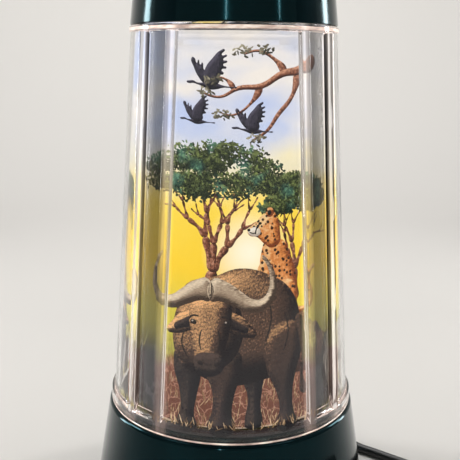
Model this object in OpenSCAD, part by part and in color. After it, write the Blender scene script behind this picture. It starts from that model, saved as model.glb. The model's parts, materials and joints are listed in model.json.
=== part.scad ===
// Heat-driven rotating motion lamp.
// A bulb lights a translucent drum from inside. Warm air turns the vaned wheel on the drum's top,
// which runs on a needle, inside a clear ribbed shell between a flared base and a round cap.
// Origin: centre of the base on the table. +Z is up and -Y is the front window.

/* [Base] */
// Height of the deck above the table
base_h = 58.4; // [52:0.2:66]
// Outer radius of the base just above its feet
base_foot_r = 76; // [74:0.5:84]
// Outer radius of the base at its top edge
base_rim_r = 67.2; // [66:0.2:69]
// Wall of the base housing
base_wall = 2.4; // [1.8:0.1:3]
// Radius that rounds the base's top edge
base_round = 2.2; // [1:0.1:2.4]
// Height of the rubber feet
foot_h = 2.5; // [2:0.1:4]
// Radius of a rubber foot
foot_r = 6.5; // [5:0.1:7.5]
// Radius of the circle that the feet stand on
foot_circle_r = 58; // [50:0.5:60]
// Thickness of the base floor
floor_t = 2.4; // [1.6:0.1:3]
// Play between the base floor and the housing wall
floor_gap = 0.3; // [0.2:0.05:0.5]
// Radius of the circle of floor screw bosses
boss_circle_r = 61; // [58:0.5:62]
// Radius of a floor screw boss
boss_r = 4; // [3.5:0.1:4.5]
// Number of air slots in the base floor
floor_slots = 20; // [12:1:24]
// Width of an air slot in the base floor
floor_slot_w = 4.2; // [3:0.1:4.6]
// Height of the ring on the deck that locates the shell
spigot_h = 2.6; // [1.5:0.1:3]
// Width of the ring on the deck
spigot_w = 2; // [1.4:0.1:2.4]
// Play between the shell's foot and the ring on the deck
spigot_gap = 0.4; // [0.3:0.05:0.6]
// Radius of the opening in the deck
deck_hole_r = 41; // [38:0.5:44]

/* [Reflector pan] */
// Thickness of the reflector pan
pan_t = 1.2; // [0.8:0.1:1.6]
// Width of the pan's edge that rests in the deck
pan_lap = 3.4; // [3:0.1:5]
// Number of air holes in the pan
pan_holes = 12; // [8:1:14]
// Radius of an air hole in the pan
pan_hole_r = 3.6; // [2:0.1:3.8]
// Radius of the circle of air holes
pan_hole_circle_r = 29; // [27:0.5:30]
// Play round the lamp holder where it passes the pan
pan_holder_gap = 1.3; // [0.8:0.1:2]

/* [Lamp holder and bulb] */
// Height of the holder bracket's top above the base floor
bracket_h = 27; // [24:0.5:30]
// Thickness of the bracket's steel
bracket_t = 1.6; // [1.2:0.1:2]
// Half the distance between the bracket's legs
bracket_half = 24; // [22:0.5:26]
// Width of the bracket
bracket_w = 20; // [16:0.5:24]
// Outer radius of the lamp holder body
holder_r = 19; // [18:0.1:20]
// Height of the lamp holder body
holder_h = 44; // [40:0.5:48]
// Radius of the bulb's screw cap
bulb_cap_r = 13.2; // [12.9:0.05:13.4]
// Play between the bulb's cap and the holder's screw shell
bulb_play = 0.4; // [0.3:0.05:0.6]
// Wall of the holder's brass screw shell
screw_shell_t = 0.5; // [0.4:0.05:0.7]
// Height of the bulb's screw cap
bulb_cap_h = 24; // [22:0.5:26]
// Radius of the bulb's glass
bulb_r = 24; // [22:0.5:26]
// Distance from the top of the bulb's cap to the middle of its glass
bulb_neck = 32; // [30:0.5:36]
// Thickness of the bulb's glass
bulb_t = 1; // [0.7:0.1:1.2]

/* [Pivot] */
// Diameter of the bail's wire
bail_d = 2.4; // [2:0.1:3]
// Distance of each bail leg from the lamp's axis
bail_half = 37; // [36:0.2:38]
// Radius of the bail's shoulders
bail_bend = 15; // [10:0.5:18]
// Height of the bail's bar above the deck
bail_h = 155; // [148:0.5:160]
// Diameter of the needle
needle_d = 1.6; // [1.4:0.05:2]
// Running clearance between the needle and the bearing cup
needle_play = 0.05; // [0.03:0.01:0.08]
// Height of the needle's tip above the middle of the wheel's vanes
tip_rise = 1; // [0:0.1:2]

/* [Drum] */
// Gap between the deck and the drum's lower edge
drum_lift = 2.2; // [1.5:0.1:3]
// Height of the drum
drum_h = 185.6; // [180:0.2:188]
// Thickness of the drum's film
drum_t = 0.4; // [0.3:0.05:0.6]
// Gap between the film frame and the drum at its foot
drum_foot_gap = 5.4; // [4:0.1:7]
// Gap between the film frame and the drum at its top
drum_top_gap = 2.8; // [2:0.1:4]
// Height of the hoops on the drum's ends
hoop_h = 2.2; // [1.6:0.1:4]
// Thickness of the hoops on the drum's ends
hoop_t = 0.7; // [0.5:0.05:1]
// Number of vanes on the heat wheel
vanes = 12; // [8:1:16]
// Angle of the vanes from level
vane_angle = 38; // [30:1:45]
// Width of a vane along its slope
vane_w = 13; // [10:0.5:14]
// Thickness of a vane
vane_t = 0.8; // [0.6:0.05:1]
// Radius of the wheel's hub
hub_r = 6; // [5.6:0.1:8]
// Height of the wheel's rim
wheel_h = 10; // [8:0.5:12]
// Thickness of the wheel's rim
wheel_rim_t = 1.2; // [0.8:0.1:1.6]

/* [Shell] */
// Height of the clear shell from the deck to the cap's seat
shell_h = 197.6; // [194:0.2:204]
// Step from the base's edge in to the shell's collar
collar_step = 1.2; // [0.8:0.1:1.6]
// Height of the thick collar at the shell's foot
collar_h = 9; // [7:0.5:11]
// How far the collar stands out from the shell's wall
collar_proud = 1.6; // [1:0.1:2]
// Outer radius of the shell at its top
shell_top_r = 52; // [51:0.1:53]
// Wall of the shell
shell_wall = 2; // [1.8:0.1:2.4]
// Number of rib posts round the shell
posts = 4; // [4:1:4]
// Width of a rib post
post_w = 25; // [23:0.2:26]
// How far a post's face stands out from the wall at its middle
post_proud = 1; // [0.6:0.1:1.4]
// Width of the channel between a post's two ribs
channel_w = 12; // [10:0.2:13]
// Depth of the channel between a post's two ribs
channel_depth = 1.8; // [1.2:0.1:2.1]
// Radius that rounds a rib's edges
rib_round = 1.2; // [0.6:0.1:1.6]
// Height of the flange at the shell's top
flange_h = 3.4; // [2.6:0.1:4]
// How far the flange stands out from the shell's wall
flange_proud = 0.7; // [0.4:0.1:0.9]
// Height of the neck that the cap slides over
neck_h = 5; // [3:0.1:7]
// Wall of the neck
neck_wall = 2; // [1.4:0.1:2.2]
// Gap between two pieces that stand on each other and move apart
seat_gap = 0.1; // [0.05:0.05:0.2]

/* [Picture film and its frame] */
// Gap on each side of the picture film
film_gap = 0.25; // [0.15:0.05:0.4]
// Thickness of the picture film
film_t = 0.3; // [0.2:0.05:0.4]
// Thickness of the frame's strips
strip_t = 1.2; // [0.8:0.1:1.6]
// Width of the frame's strips
strip_w = 17; // [12:0.2:20]
// Height of the frame's end rings
frame_ring_h = 1.6; // [1.2:0.1:2.4]

/* [Cap] */
// Height of the cap
cap_h = 45; // [41:0.5:52]
// How far the cap stands out over the shell's top
cap_over = 0.4; // [0.2:0.1:0.8]
// Height of the cap's straight skirt
cap_skirt = 33; // [28:0.5:34]
// How much the skirt's radius shrinks over its height
cap_taper = 3.6; // [2.5:0.1:4.5]
// Wall of the cap
cap_wall = 2.2; // [1.8:0.1:2.4]
// Radius of the rounded shoulder of the cap
cap_shoulder = 10; // [9:0.5:12]
// Play between the cap and the shell's neck
cap_play = 0.4; // [0.25:0.05:0.6]
// Number of air slots in the cap
cap_slots = 18; // [12:1:20]
// Width of an air slot in the cap
cap_slot_w = 3.2; // [2.4:0.1:3.4]
// Distance of the heat baffle below the cap's top
baffle_drop = 12; // [9:0.5:15]
// Radius of the heat baffle
baffle_r = 40; // [36:0.5:42]
// Thickness of the heat baffle
baffle_t = 0.8; // [0.6:0.1:1.2]

/* [Screws] */
// Diameter of the screws
screw_d = 2.6; // [2.2:0.1:3]
// Diameter of a screw's head
screw_head_d = 5.2; // [4.8:0.1:6]
// Height of a screw's head
screw_head_h = 1.6; // [1.2:0.1:2]
// Length of a screw below its head
screw_l = 9; // [7:0.5:11]

/* [Cord] */
// Diameter of the mains cord
cord_d = 5.4; // [5.2:0.1:5.6]
// Height of the cord's exit above the table
cord_exit_z = 10; // [10:0.5:10]
// Length of the strain relief outside the base
relief_l = 25; // [20:0.5:30]
// Length of the in-line switch
switch_l = 46; // [46:1:46]
// Width of the in-line switch
switch_w = 20; // [18:0.5:22]
// Height of the in-line switch
switch_h = 14; // [13:0.5:16]
// Radius of the switch's thumb wheel
wheel_r = 9; // [8.6:0.1:9.2]
// Thickness of the thumb wheel
wheel_t = 4.4; // [4:0.1:5]
// Length of the plug's body
plug_l = 26; // [24:0.5:28]
// Width of the plug's body
plug_w = 24; // [22:0.5:25]
// Height of the plug's body
plug_h = 15; // [14:0.5:16]

/* [Hidden] */

$fn = 96;
eps = 0.01;
round_fn = 32;

gloss_green = [0.03, 0.11, 0.11];
clear = [0.9, 0.9, 0.92, 0.35];
smoke = [0.22, 0.22, 0.22];
brass = [0.72, 0.56, 0.28];
steel = [0.72, 0.73, 0.75];
black_rubber = [0.06, 0.06, 0.06];
porcelain = [0.86, 0.84, 0.78];
art_sky = [0.86, 0.82, 0.72, 0.8];

// Heights, from the table up.
floor_z = foot_h;
floor_top = floor_z + floor_t;
shell_z = base_h + seat_gap;
shell_top_z = base_h + shell_h;
flange_z = shell_top_z - flange_h;
cap_z = shell_top_z + seat_gap;
cap_top = cap_z + cap_h;
drum_z = base_h + drum_lift;
drum_top = drum_z + drum_h;
film_z = base_h + spigot_h + frame_ring_h / 2;
frame_z = base_h + spigot_h + film_gap;
frame_top = flange_z - film_gap;

// Radii of the shell and of what it holds, which all taper alike.
collar_r = base_rim_r - collar_step;
shell_foot_r = collar_r - collar_proud;
shell_slope = atan((shell_foot_r - shell_top_r) / shell_h);
function shell_r(z) = shell_foot_r - (z - base_h) * (shell_foot_r - shell_top_r) / shell_h;
function film_r(z) = shell_r(z) - shell_wall - film_gap;
function strip_out(z) = film_r(z) - film_t - film_gap;
function strip_in(z) = strip_out(z) - strip_t;
drum_foot_r = strip_in(drum_z) - drum_foot_gap;
drum_top_r = strip_in(drum_top) - drum_top_gap;
function drum_r(z) = drum_foot_r + (z - drum_z) * (drum_top_r - drum_foot_r) / drum_h;
cap_rim_r = shell_top_r + cap_over;
neck_r = cap_rim_r - cap_wall - cap_taper * neck_h / cap_skirt - cap_play;

function base_r(z) = base_foot_r - (z - foot_h) * (base_foot_r - base_rim_r) / (base_h - base_round - foot_h);

// Points of an arc in the profile plane, from angle a to angle b.
function arc(cx, cz, r, a, b, n = 8) =
    [for (i = [0 : n]) let (t = a + (b - a) * i / n) [cx + r * cos(t), cz + r * sin(t)]];

// A conical wall between two heights, given the outer radius at each.
module cone_wall(r0, r1, z0, z1, t) {
    rotate_extrude()
        polygon([[r0 - t, z0], [r0, z0], [r1, z1], [r1 - t, z1]]);
}

// A flat ring.
module ring(r_out, r_in, z, h) {
    translate([0, 0, z])
        difference() {
            cylinder(r = r_out, h = h);
            translate([0, 0, -eps])
                cylinder(r = r_in, h = h + 2 * eps);
        }
}

// Copies at equal angles round the lamp's axis.
module around(n, first = 0) {
    for (i = [0 : n - 1])
        rotate([0, 0, first + 360 * i / n])
            children();
}

// ---------------------------------------------------------------- base

boss_first = 45;
boss_count = 4;
foot_first = 0;
screw_r = screw_d / 2;
head_r = screw_head_d / 2;
relief_r = 5.6;
relief_stop_r = 4.8;
relief_neck_r = 4;
relief_hole_gap = 0.15;
deck_t = base_wall;
web_t = 2;
pan_r = deck_hole_r + pan_lap;
pan_gap = 0.25;
spigot_r = shell_r(base_h) - shell_wall - spigot_gap;

module base_profile() {
    rim_z = base_h - base_round;
    polygon(concat(
        [[0, foot_h], [base_foot_r, foot_h]],
        arc(base_rim_r - base_round, rim_z, base_round, 0, 90),
        [[0, base_h]]
    ));
}

module base_hollow() {
    inner_top = base_h - deck_t;
    polygon([
        [0, foot_h - 1], [base_r(foot_h) - base_wall, foot_h - 1],
        [base_r(foot_h) - base_wall, foot_h],
        [base_r(inner_top) - base_wall, inner_top], [0, inner_top]
    ]);
}

module base_housing() color(gloss_green) {
    difference() {
        union() {
            difference() {
                rotate_extrude() base_profile();
                rotate_extrude() base_hollow();
            }
            ring(spigot_r, spigot_r - spigot_w, base_h - 1, spigot_h + 1);
            around(boss_count, boss_first) screw_boss();
        }
        translate([0, 0, base_h - deck_t - 1]) cylinder(r = deck_hole_r, h = deck_t + 2);
        translate([0, 0, base_h - pan_t]) cylinder(r = pan_r, h = pan_t + 1);
        around(boss_count, boss_first)
            translate([boss_circle_r, 0, floor_top - 1]) cylinder(r = screw_r - 0.1, h = screw_l + 2);
        around(3, 90)
            translate([deck_hole_r + pan_lap / 2 - 0.4, 0, base_h - deck_t - 1])
                cylinder(r = pan_screw_r, h = deck_t + 2);
        translate([0, 0, cord_exit_z]) rotate([-90, 0, 0])
            cylinder(r = relief_neck_r + relief_hole_gap, h = base_foot_r + 5);
    }
}

module screw_boss() {
    boss_top = base_h - deck_t + 0.5;
    translate([boss_circle_r, 0, floor_top]) cylinder(r = boss_r, h = boss_top - floor_top);
    web_z = floor_top + 12;
    rotate([90, 0, 0])
        translate([0, 0, -web_t / 2])
            linear_extrude(height = web_t)
                polygon([
                    [boss_circle_r, web_z], [base_r(web_z) - base_wall / 2, web_z],
                    [base_r(boss_top) - base_wall / 2, boss_top], [boss_circle_r, boss_top]
                ]);
}

module base_floor() color(gloss_green) {
    difference() {
        union() {
            translate([0, 0, floor_z])
                cylinder(r = base_r(floor_top) - base_wall - floor_gap, h = floor_t);
            for (side = [-1, 1])
                translate([side * bracket_foot_x, 0, floor_top]) cylinder(r = 5, h = pillar_h);
        }
        around(floor_slots, 180 / floor_slots)
            translate([38, -floor_slot_w / 2, floor_z - 1]) cube([14, floor_slot_w, floor_t + 2]);
        around(boss_count, boss_first) {
            translate([boss_circle_r, 0, floor_z - 1]) cylinder(r = screw_r + 0.15, h = floor_t + 2);
            translate([boss_circle_r, 0, floor_z - 1]) cylinder(r = head_r + 0.3, h = 1 + head_sink);
        }
        for (side = [-1, 1])
            translate([side * bracket_foot_x, 0, floor_z - 1])
                cylinder(r = bracket_screw_r, h = floor_t + pillar_h + 2);
    }
}

head_sink = screw_head_h - 0.6;
pillar_h = 2.2;
bracket_screw_r = 1.3;
bracket_foot_x = bracket_half + 6;

module rubber_feet() color(black_rubber) {
    around(4, foot_first)
        translate([foot_circle_r, 0, 0])
            rotate_extrude()
                polygon(concat([[0, 0]], arc(foot_r - 0.8, 0.8, 0.8, -90, 0, 4), [[foot_r, foot_h], [0, foot_h]]));
}

// A pan-head screw that points up, with its head's upper face at the origin.
module screw_up(length) {
    translate([0, 0, -screw_head_h]) cylinder(r = head_r, h = screw_head_h);
    cylinder(r = screw_r - 0.1, h = length);
}

module floor_screws() color(steel) {
    around(boss_count, boss_first)
        translate([boss_circle_r, 0, floor_z + head_sink]) screw_up(screw_l);
}

// ---------------------------------------------------------------- reflector pan

pan_screw_r = 0.9;
pan_screw_head_r = 1.6;
pan_screw_head_h = 0.9;
bail_r = bail_d / 2;
bail_foot_l = 4;

module reflector_pan() color(steel) {
    difference() {
        union() {
            translate([0, 0, base_h - pan_t]) cylinder(r = pan_r - pan_gap, h = pan_t);
            for (side = [-1, 1])
                translate([side * bail_half, 0, base_h - pan_t - 3]) cylinder(r = bail_r + 1.4, h = 3.5);
        }
        translate([0, 0, base_h - pan_t - 1]) cylinder(r = holder_r + pan_holder_gap, h = pan_t + 2);
        around(pan_holes, 180 / pan_holes)
            translate([pan_hole_circle_r, 0, base_h - pan_t - 1]) cylinder(r = pan_hole_r, h = pan_t + 2);
        for (side = [-1, 1])
            translate([side * bail_half, 0, base_h - pan_t - 4]) cylinder(r = bail_r, h = pan_t + 6);
        around(3, 90)
            translate([deck_hole_r + pan_lap / 2 - 0.4, 0, base_h - pan_t - 1])
                cylinder(r = pan_screw_r, h = pan_t + 2);
    }
}

module pan_screws() color(steel) {
    around(3, 90)
        translate([deck_hole_r + pan_lap / 2 - 0.4, 0, base_h]) {
            cylinder(r = pan_screw_head_r, h = pan_screw_head_h);
            translate([0, 0, -deck_t]) cylinder(r = pan_screw_r, h = deck_t);
        }
}

// ---------------------------------------------------------------- lamp holder

bracket_foot_z = floor_top + pillar_h;
bracket_top = floor_top + bracket_h;
nipple_r = 5;
nipple_bore_r = 3.4;
nut_r = 8;
nut_h = 3;
holder_z = bracket_top;
holder_floor = 10;
socket_r = bulb_cap_r + bulb_play + screw_shell_t;
cap_seat_z = holder_z + holder_floor + 2.5;
bulb_cap_top = cap_seat_z + bulb_cap_h;
bulb_mid_z = bulb_cap_top + bulb_neck;

module holder_bracket() color(steel) {
    difference() {
        union() {
            translate([-bracket_half, -bracket_w / 2, bracket_top - bracket_t])
                cube([2 * bracket_half, bracket_w, bracket_t]);
            for (side = [-1, 1]) {
                translate([side * (bracket_half - bracket_t / 2) - bracket_t / 2, -bracket_w / 2, bracket_foot_z])
                    cube([bracket_t, bracket_w, bracket_top - bracket_foot_z]);
                translate([side * bracket_foot_x - 6.5, -bracket_w / 2, bracket_foot_z])
                    cube([13, bracket_w, bracket_t]);
            }
        }
        translate([0, 0, bracket_top - bracket_t - 1]) cylinder(r = nipple_r, h = bracket_t + 2);
        for (side = [-1, 1])
            translate([side * bracket_foot_x, 0, bracket_foot_z - 1])
                cylinder(r = bracket_screw_r, h = bracket_t + 2);
    }
}

module holder_nipple() color(brass) {
    low = bracket_top - bracket_t - nut_h - 2;
    difference() {
        translate([0, 0, low]) cylinder(r = nipple_r, h = nut_h + bracket_t + 7);
        translate([0, 0, low - 1]) cylinder(r = nipple_bore_r, h = nut_h + bracket_t + 9);
    }
}

module holder_nut() color(brass) {
    translate([0, 0, bracket_top - bracket_t - nut_h])
        difference() {
            cylinder(r = nut_r, h = nut_h, $fn = 6);
            translate([0, 0, -1]) cylinder(r = nipple_r, h = nut_h + 2);
        }
}

module bracket_screws() color(steel) {
    for (side = [-1, 1])
        translate([side * bracket_foot_x, 0, bracket_foot_z + bracket_t]) {
            cylinder(r = head_r, h = screw_head_h);
            translate([0, 0, -bracket_t - pillar_h - 1]) cylinder(r = bracket_screw_r, h = bracket_t + pillar_h + 1);
        }
}

module lampholder_body() color(porcelain) {
    difference() {
        rotate_extrude()
            polygon(concat(
                [[0, holder_z], [holder_r - 4, holder_z], [holder_r - 1.5, holder_z + 6]],
                [[holder_r, holder_z + 12], [holder_r, holder_z + holder_h - 6]],
                [[holder_r - 1.2, holder_z + holder_h - 5], [holder_r - 1.2, holder_z + holder_h - 1]],
                [[holder_r - 2.2, holder_z + holder_h], [0, holder_z + holder_h]]
            ));
        translate([0, 0, holder_z + holder_floor]) cylinder(r = socket_r, h = holder_h);
        translate([0, 0, holder_z - 1]) cylinder(r = nipple_r, h = 6.4);
        translate([0, 0, holder_z]) cylinder(r = nipple_bore_r, h = holder_floor + 1);
    }
}

module lampholder_screw_shell() color(brass) {
    shell_low = holder_z + holder_floor;
    difference() {
        translate([0, 0, shell_low]) cylinder(r = socket_r, h = holder_h - holder_floor - 6);
        translate([0, 0, shell_low + screw_shell_t])
            cylinder(r = socket_r - screw_shell_t, h = holder_h);
        translate([0, 0, shell_low - 1]) cylinder(r = 7, h = 3);
    }
}

module holder_contact() color(brass) {
    translate([0, 0, holder_z + holder_floor])
        difference() {
            cylinder(r = 5, h = 1);
            translate([0, 0, -1]) cylinder(r = 1.2, h = 3);
        }
    translate([0, 0, holder_z + holder_floor + 1 - eps])
        ring(3.2, 1.6, 0, 1.5);
}

module bulb_cap() color(steel) {
    pitch = 3.6;
    difference() {
        translate([0, 0, cap_seat_z])
            rotate_extrude()
                polygon([
                    [0, 0], [4.6, 0], [7.5, 2.4], [bulb_cap_r - 0.6, 4],
                    [bulb_cap_r, 4.8], [bulb_cap_r, bulb_cap_h], [0, bulb_cap_h]
                ]);
        for (i = [0 : 4])
            translate([0, 0, cap_seat_z + 6.5 + pitch * i])
                rotate_extrude() translate([bulb_cap_r + 0.5, 0]) circle(r = 1.2, $fn = round_fn);
        translate([0, 0, bulb_cap_top - 10]) cylinder(r = bulb_cap_r - 2.2, h = 11);
    }
}

module bulb_shape(r, neck) {
    low = bulb_cap_top - 9;
    rotate_extrude()
        polygon(concat(
            [[0, low], [neck, low], [neck, bulb_cap_top + 3]],
            [[neck + (r - neck) * 0.45, bulb_mid_z - r * 0.72]],
            arc(0, bulb_mid_z, r, -34, 90, 14)
        ));
}

module bulb_glass() color([1, 0.97, 0.9, 0.5]) {
    neck_out = bulb_cap_r - 2.4;
    difference() {
        bulb_shape(bulb_r, neck_out);
        difference() {
            bulb_shape(bulb_r - bulb_t, neck_out - bulb_t);
            translate([0, 0, bulb_cap_top - 10]) cylinder(r = bulb_r, h = 2);
        }
    }
}

module filament_mount() color([0.8, 0.8, 0.8]) {
    stem_z = bulb_cap_top - 8;
    stem_h = bulb_neck / 2;
    filament_w = bulb_r * 0.75;
    wire_r = 0.4;
    top = bulb_mid_z + 2;
    translate([0, 0, stem_z]) cylinder(r1 = 5, r2 = 2.6, h = stem_h);
    for (side = [-1, 1])
        translate([side * 2, 0, stem_z + stem_h - 1])
            cylinder(r = wire_r, h = top - stem_z - stem_h + 1, $fn = 24);
    translate([-filament_w / 2, 0, top]) rotate([0, 90, 0]) cylinder(r = 0.9, h = filament_w, $fn = 24);
}

module supply_lead() color(black_rubber) {
    lead_r = 2.7;
    bend = 11;
    rise_z = cord_exit_z + bend;
    start_y = base_r(cord_exit_z) - base_wall - 3;
    translate([0, bend, cord_exit_z]) rotate([-90, 0, 0]) cylinder(r = lead_r, h = start_y - bend);
    translate([0, bend, rise_z]) rotate([0, 90, 180])
        rotate_extrude(angle = 90) translate([bend, 0]) circle(r = lead_r, $fn = 48);
    translate([0, 0, rise_z]) cylinder(r = lead_r, h = bracket_top + 2 - rise_z);
}

// Tapered strain relief: a grooved neck in the wall, a collar outside it and a ribbed boot.
module strain_relief() color(black_rubber) {
    wall_y = base_r(cord_exit_z);
    boot_y = wall_y + 1.2;
    end_y = wall_y + relief_l;
    ribs = 5;
    translate([0, 0, cord_exit_z]) rotate([-90, 0, 0])
        difference() {
            union() {
                translate([0, 0, wall_y - base_wall - 3.2]) cylinder(r = relief_stop_r, h = 2);
                translate([0, 0, wall_y - base_wall - 1.6]) cylinder(r = relief_neck_r, h = base_wall + 3);
                translate([0, 0, boot_y]) cylinder(r = relief_r + 0.9, h = 2.2);
                translate([0, 0, boot_y + 2]) cylinder(r1 = relief_r, r2 = cord_d / 2 + 0.8, h = end_y - boot_y - 2);
                for (i = [0 : ribs - 1])
                    translate([0, 0, boot_y + 4.5 + i * (end_y - boot_y - 6) / ribs])
                        cylinder(r = relief_r + 0.4 - i * 0.42, h = 1.6);
            }
            translate([0, 0, wall_y - base_wall - 4]) cylinder(r = cord_d / 2, h = base_wall + 6);
        }
}

// ---------------------------------------------------------------- pivot

bar_z = base_h + bail_h;
needle_hub_r = 3.6;
needle_hub_low = 3.4;
needle_hub_high = 5;
needle_r = needle_d / 2;
needle_base_z = bar_z + 2.2;
needle_top = drum_top - wheel_h / 2 + tip_rise;
tip_h = 2.2;

module pivot_bail() color(steel) {
    foot_low = base_h - pan_t - 3;
    for (side = [-1, 1]) {
        translate([side * bail_half, 0, foot_low]) cylinder(r = bail_r, h = bar_z - bail_bend - foot_low);
        translate([side * (bail_half - bail_bend), 0, bar_z - bail_bend])
            rotate([90, 0, 0]) rotate([0, 0, side > 0 ? 0 : 90])
                rotate_extrude(angle = 90) translate([bail_bend, 0]) circle(r = bail_r, $fn = 48);
    }
    translate([-(bail_half - bail_bend), 0, bar_z]) rotate([0, 90, 0])
        cylinder(r = bail_r, h = 2 * (bail_half - bail_bend));
}

module needle_hub() color(brass) {
    difference() {
        translate([0, 0, bar_z - needle_hub_low])
            rotate_extrude()
                polygon([
                    [0, 0], [needle_hub_r - 0.6, 0], [needle_hub_r, 0.6],
                    [needle_hub_r, needle_hub_low + needle_hub_high - 1.4],
                    [needle_hub_r - 1.4, needle_hub_low + needle_hub_high],
                    [0, needle_hub_low + needle_hub_high]
                ]);
        translate([-needle_hub_r - 1, 0, bar_z]) rotate([0, 90, 0]) cylinder(r = bail_r, h = 2 * needle_hub_r + 2);
        translate([0, 0, needle_base_z]) cylinder(r = needle_r, h = needle_hub_high);
    }
}

module pivot_needle() color(steel) {
    translate([0, 0, needle_base_z]) cylinder(r = needle_r, h = needle_top - tip_h - needle_base_z);
    translate([0, 0, needle_top - tip_h]) cylinder(r1 = needle_r, r2 = 0.15, h = tip_h);
}

// ---------------------------------------------------------------- drum

cup_r = 3;
cup_bore_r = needle_r + needle_play;
tip_gap = 0.2;
cup_low = needle_top - tip_h - 4;
cup_top = needle_top + 1.6;
wheel_z = drum_top - wheel_h;
wheel_mid = wheel_z + wheel_h / 2;
wheel_skin = 0.05;
function wheel_r_at(z) = drum_r(z) - drum_t - wheel_skin;

// The heat wheel: sloping vanes between a hub and a rim that the film is fixed to.
module heat_wheel() color(steel) {
    rim_in = wheel_r_at(wheel_mid) - wheel_rim_t;
    cone_wall(wheel_r_at(wheel_z), wheel_r_at(drum_top), wheel_z, drum_top, wheel_rim_t);
    difference() {
        union() {
            translate([0, 0, cup_low]) cylinder(r = hub_r, h = cup_top + 1.4 - cup_low);
            translate([0, 0, cup_top + 1.4 - eps]) cylinder(r1 = hub_r, r2 = hub_r - 1.5, h = 1.5);
            intersection() {
                around(vanes) translate([0, 0, wheel_mid]) rotate([vane_angle, 0, 0])
                    translate([hub_r - 1, -vane_w / 2, -vane_t / 2]) cube([60, vane_w, vane_t]);
                translate([0, 0, wheel_z - 2]) cylinder(r = rim_in + 0.5, h = wheel_h + 4);
            }
        }
        translate([0, 0, cup_low - 1]) cylinder(r = cup_r, h = cup_top - cup_low + 1);
    }
}

module bearing_cup() color(brass) {
    difference() {
        translate([0, 0, cup_low]) cylinder(r = cup_r, h = cup_top - cup_low);
        translate([0, 0, cup_low - 1]) cylinder(r = cup_bore_r, h = needle_top - tip_h + tip_gap - cup_low + 1);
        translate([0, 0, needle_top - tip_h + tip_gap - eps])
            cylinder(r1 = cup_bore_r, r2 = 0.2, h = tip_h);
    }
}

module drum_film() color(art_sky) {
    cone_wall(drum_foot_r, drum_top_r, drum_z, drum_top, drum_t);
}

module drum_hoop(z) {
    cone_wall(drum_r(z) + wheel_skin + hoop_t, drum_r(z + hoop_h) + wheel_skin + hoop_t, z, z + hoop_h, hoop_t);
}

module drum_top_hoop() color(steel) {
    drum_hoop(drum_top - hoop_h);
}

module drum_foot_hoop() color([0.85, 0.82, 0.76]) {
    drum_hoop(drum_z);
}

// ---------------------------------------------------------------- shell

lip_round = 1.2;
cove_h = 2.4;
flange_r = shell_r(flange_z) + flange_proud;
channel_low = base_h + collar_h + 1.2;
channel_high = flange_z - 1.2;

module shell_body_profile() {
    collar_top = base_h + collar_h;
    polygon(concat(
        [[0, shell_z], [collar_r - lip_round, shell_z]],
        arc(collar_r - lip_round, shell_z + lip_round, lip_round, -90, 0, 5),
        [[collar_r - 0.3, collar_top - cove_h]],
        arc(shell_r(collar_top) + cove_h, collar_top + 0.4, cove_h, 235, 180, 5),
        [[shell_r(flange_z), flange_z], [flange_r, flange_z + 0.4]],
        [[flange_r, shell_top_z - 0.9], [flange_r - 0.9, shell_top_z], [0, shell_top_z]]
    ));
}

// Section of a rib post, square to the wall's slope: two rounded ribs beside a channel.
module post_section() {
    rib_w = (post_w - channel_w) / 2;
    back = -shell_wall - 3;
    for (side = [-1, 1])
        translate([0, side * (channel_w + rib_w) / 2]) {
            translate([back, -rib_w / 2]) square([-back - rib_round, rib_w]);
            translate([back, -rib_w / 2 + rib_round]) square([-back, rib_w - 2 * rib_round]);
            for (edge = [-1, 1])
                translate([-rib_round, edge * (rib_w / 2 - rib_round)]) circle(r = rib_round, $fn = round_fn);
        }
}

// Places a section on the wall's slope at each post, from one height to another.
module along_posts(low, high) {
    around(posts, 45)
        translate([shell_r(low) + post_proud, 0, low])
            rotate([0, -shell_slope, 0])
                linear_extrude(height = (high - low) / cos(shell_slope)) children();
}

module rib_posts() {
    low = base_h + collar_h - cove_h - 1;
    intersection() {
        along_posts(low - 1, flange_z + 2) post_section();
        translate([0, 0, low]) cylinder(r = base_foot_r, h = flange_z - low);
    }
}

module channel_cuts() {
    along_posts(channel_low, channel_high)
        translate([-channel_depth, -channel_w / 2]) square([channel_depth + 5, channel_w]);
}

module outer_shell() color(clear) {
    difference() {
        union() {
            rotate_extrude() shell_body_profile();
            rib_posts();
            translate([0, 0, shell_top_z - 1]) cylinder(r = neck_r, h = neck_h + 1);
        }
        rotate_extrude()
            polygon([
                [0, base_h - 1], [shell_r(base_h) - shell_wall, base_h - 1],
                [shell_r(base_h) - shell_wall, base_h],
                [shell_r(flange_z) - shell_wall, flange_z],
                [neck_r - neck_wall, flange_z + 1.2],
                [neck_r - neck_wall, shell_top_z + neck_h + 1], [0, shell_top_z + neck_h + 1]
            ]);
        channel_cuts();
    }
}

module picture_film() color([0.9, 0.88, 0.82, 0.5]) {
    cone_wall(film_r(film_z), film_r(frame_top), film_z, frame_top, film_t);
}

module film_frame() color(smoke) {
    window_h = frame_top - frame_z - 2 * frame_ring_h;
    difference() {
        cone_wall(strip_out(frame_z), strip_out(frame_top), frame_z, frame_top, strip_t);
        translate([0, 0, frame_z + frame_ring_h])
            linear_extrude(height = window_h)
                difference() {
                    circle(r = base_foot_r);
                    around(posts, 45) translate([0, -strip_w / 2]) square([base_foot_r + 1, strip_w]);
                }
    }
}

// ---------------------------------------------------------------- cap

baffle_z = cap_top - baffle_drop;
baffle_screw_circle = 30;
cap_boss_r = 3.4;
rim_round = 0.7;
slot_in = 10;
slot_out = 27;

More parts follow.
